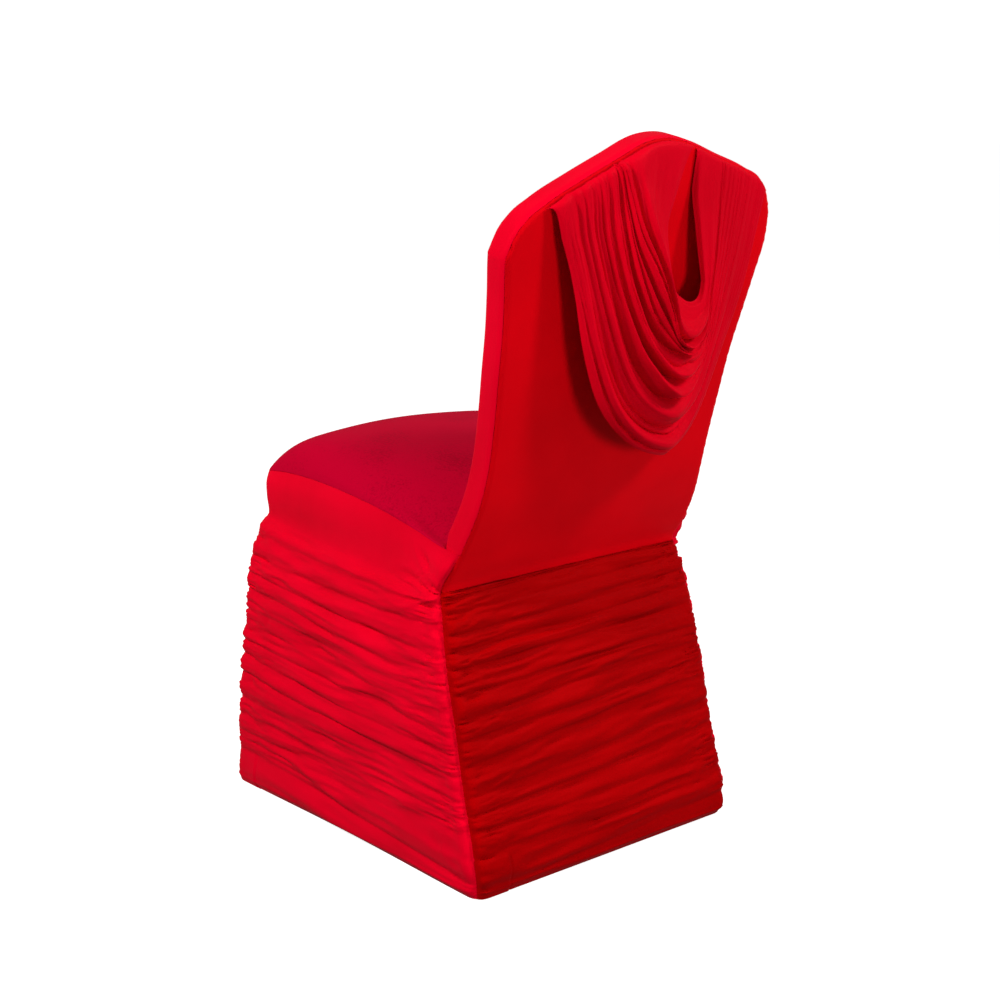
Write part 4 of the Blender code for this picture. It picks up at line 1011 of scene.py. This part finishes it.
def build_backdrop():
    """A plain white wall round the floor, which throws no light on the object."""
    sides, radius, foot, tall = 48, 24.0, -0.1, 14.0
    turns = [2 * math.pi * i / sides for i in range(sides)]
    ring = [(radius * math.cos(turn), radius * math.sin(turn)) for turn in turns]
    points = [(x, y, foot) for x, y in ring] + [(x, y, tall) for x, y in ring]
    faces = [(i, (i + 1) % sides, sides + (i + 1) % sides, sides + i) for i in range(sides)]
    values = {"Base Color": (0.9, 0.9, 0.9, 1.0), "Emission Color": (1.0, 1.0, 1.0, 1.0),
              "Emission Strength": 0.95}
    stage_surface("backdrop", points, faces, "backdrop_white", values,
                  ("visible_diffuse", "visible_glossy", "visible_transmission", "visible_shadow"))


def area_light(name, place, aim, size, power):
    lamp = bpy.data.lights.new(name, "AREA")
    lamp.shape = "DISK"
    lamp.size = size
    lamp.energy = power
    light = add_object(name, lamp)
    light.location = place
    light.rotation_euler = (Vector(aim) - Vector(place)).to_track_quat("-Z", "Y").to_euler()


def build_studio():
    build_floor()
    build_backdrop()
    area_light("side_key", (2.4, 0.2, 2.3), (0.0, 0.1, 0.50), 0.4, 73)
    area_light("rear_key", (-1.4, 2.0, 2.6), (0.0, 0.2, 0.50), 0.5, 46)
    area_light("rear_fill", (0.0, 3.4, 0.6), (0.0, 0.2, 0.50), 1.0, 37)
    world = bpy.data.worlds.new("studio")
    bpy.context.scene.world = world
    world.use_nodes = True
    background = world.node_tree.nodes["Background"]
    background.inputs["Color"].default_value = (1.0, 1.0, 1.0, 1.0)
    background.inputs["Strength"].default_value = 0.20
    bpy.context.scene.view_settings.view_transform = "Standard"


def build_camera():
    turn, drop = math.radians(CAMERA_TURN), math.radians(CAMERA_DROP)
    back = Vector((math.sin(turn) * math.cos(drop), -math.cos(turn) * math.cos(drop), math.sin(drop)))
    right = (-back).cross(Vector((0, 0, 1))).normalized()
    up = right.cross(-back)
    lens = bpy.data.cameras.new("camera")
    lens.sensor_width = 36.0
    lens.lens = lens.sensor_width * FOCAL_PIXELS / PHOTO_PIXELS
    camera = add_object("camera", lens)
    camera.location = Vector(CAMERA_PLACE) - Vector((0, ORIGIN_Y, 0))
    camera.rotation_euler = Matrix((right, up, back)).transposed().to_euler()
    bpy.context.scene.camera = camera


def dress_pockets(frame, material):
    """The foot pockets keep their solids, with the cloth's finish."""
    for corner in ("rear_left", "rear_right", "front_left", "front_right"):
        solid = frame["nodes"]["foot_pocket_" + corner]
        solid.data.materials.clear()
        solid.data.materials.append(material)


def main():
    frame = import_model()
    side = knit("red_side", (0.84, 0.0, 0.018, 1.0), (0.66, 0.0, 0.012, 1.0), 0.50, 0.25)
    rear = knit("red_rear", (0.82, 0.0, 0.0050, 1.0), (0.66, 0.0, 0.0040, 1.0), 0.52, 0.25)
    # The seat's darker copy of the cloth is painted shade for its top, which takes less light; its
    # coarser grain is the cloth's own texture.
    seat = knit("red_seat_painted_shade", (0.52, 0.0, 0.022, 1.0), (0.18, 0.0, 0.007, 1.0), 0.68, 0.80, weave=300.0)
    # The rear skirt's darker copy of the cloth is painted shade for the self-shadow of its gathered
    # folds.
    ruched = knit("red_rear_ruched_painted_shade", (0.42, 0.0, 0.0008, 1.0), (0.33, 0.0, 0.0005, 1.0), 0.55, 0.25)
    skirt = dress_skirt(side, ruched)
    dress_rear_panel(rear)
    edge = dress_front_panel(side)
    dress_seat(skirt, edge, seat)
    # The swag's darker copy of the cloth is painted shade.
    dress_swag(knit("red_swag_painted_shade", (0.72, 0.0, 0.012, 1.0), (0.56, 0.0, 0.008, 1.0), 0.55, 0.25))
    dress_pockets(frame, side)
    build_studio()
    build_camera()


main()
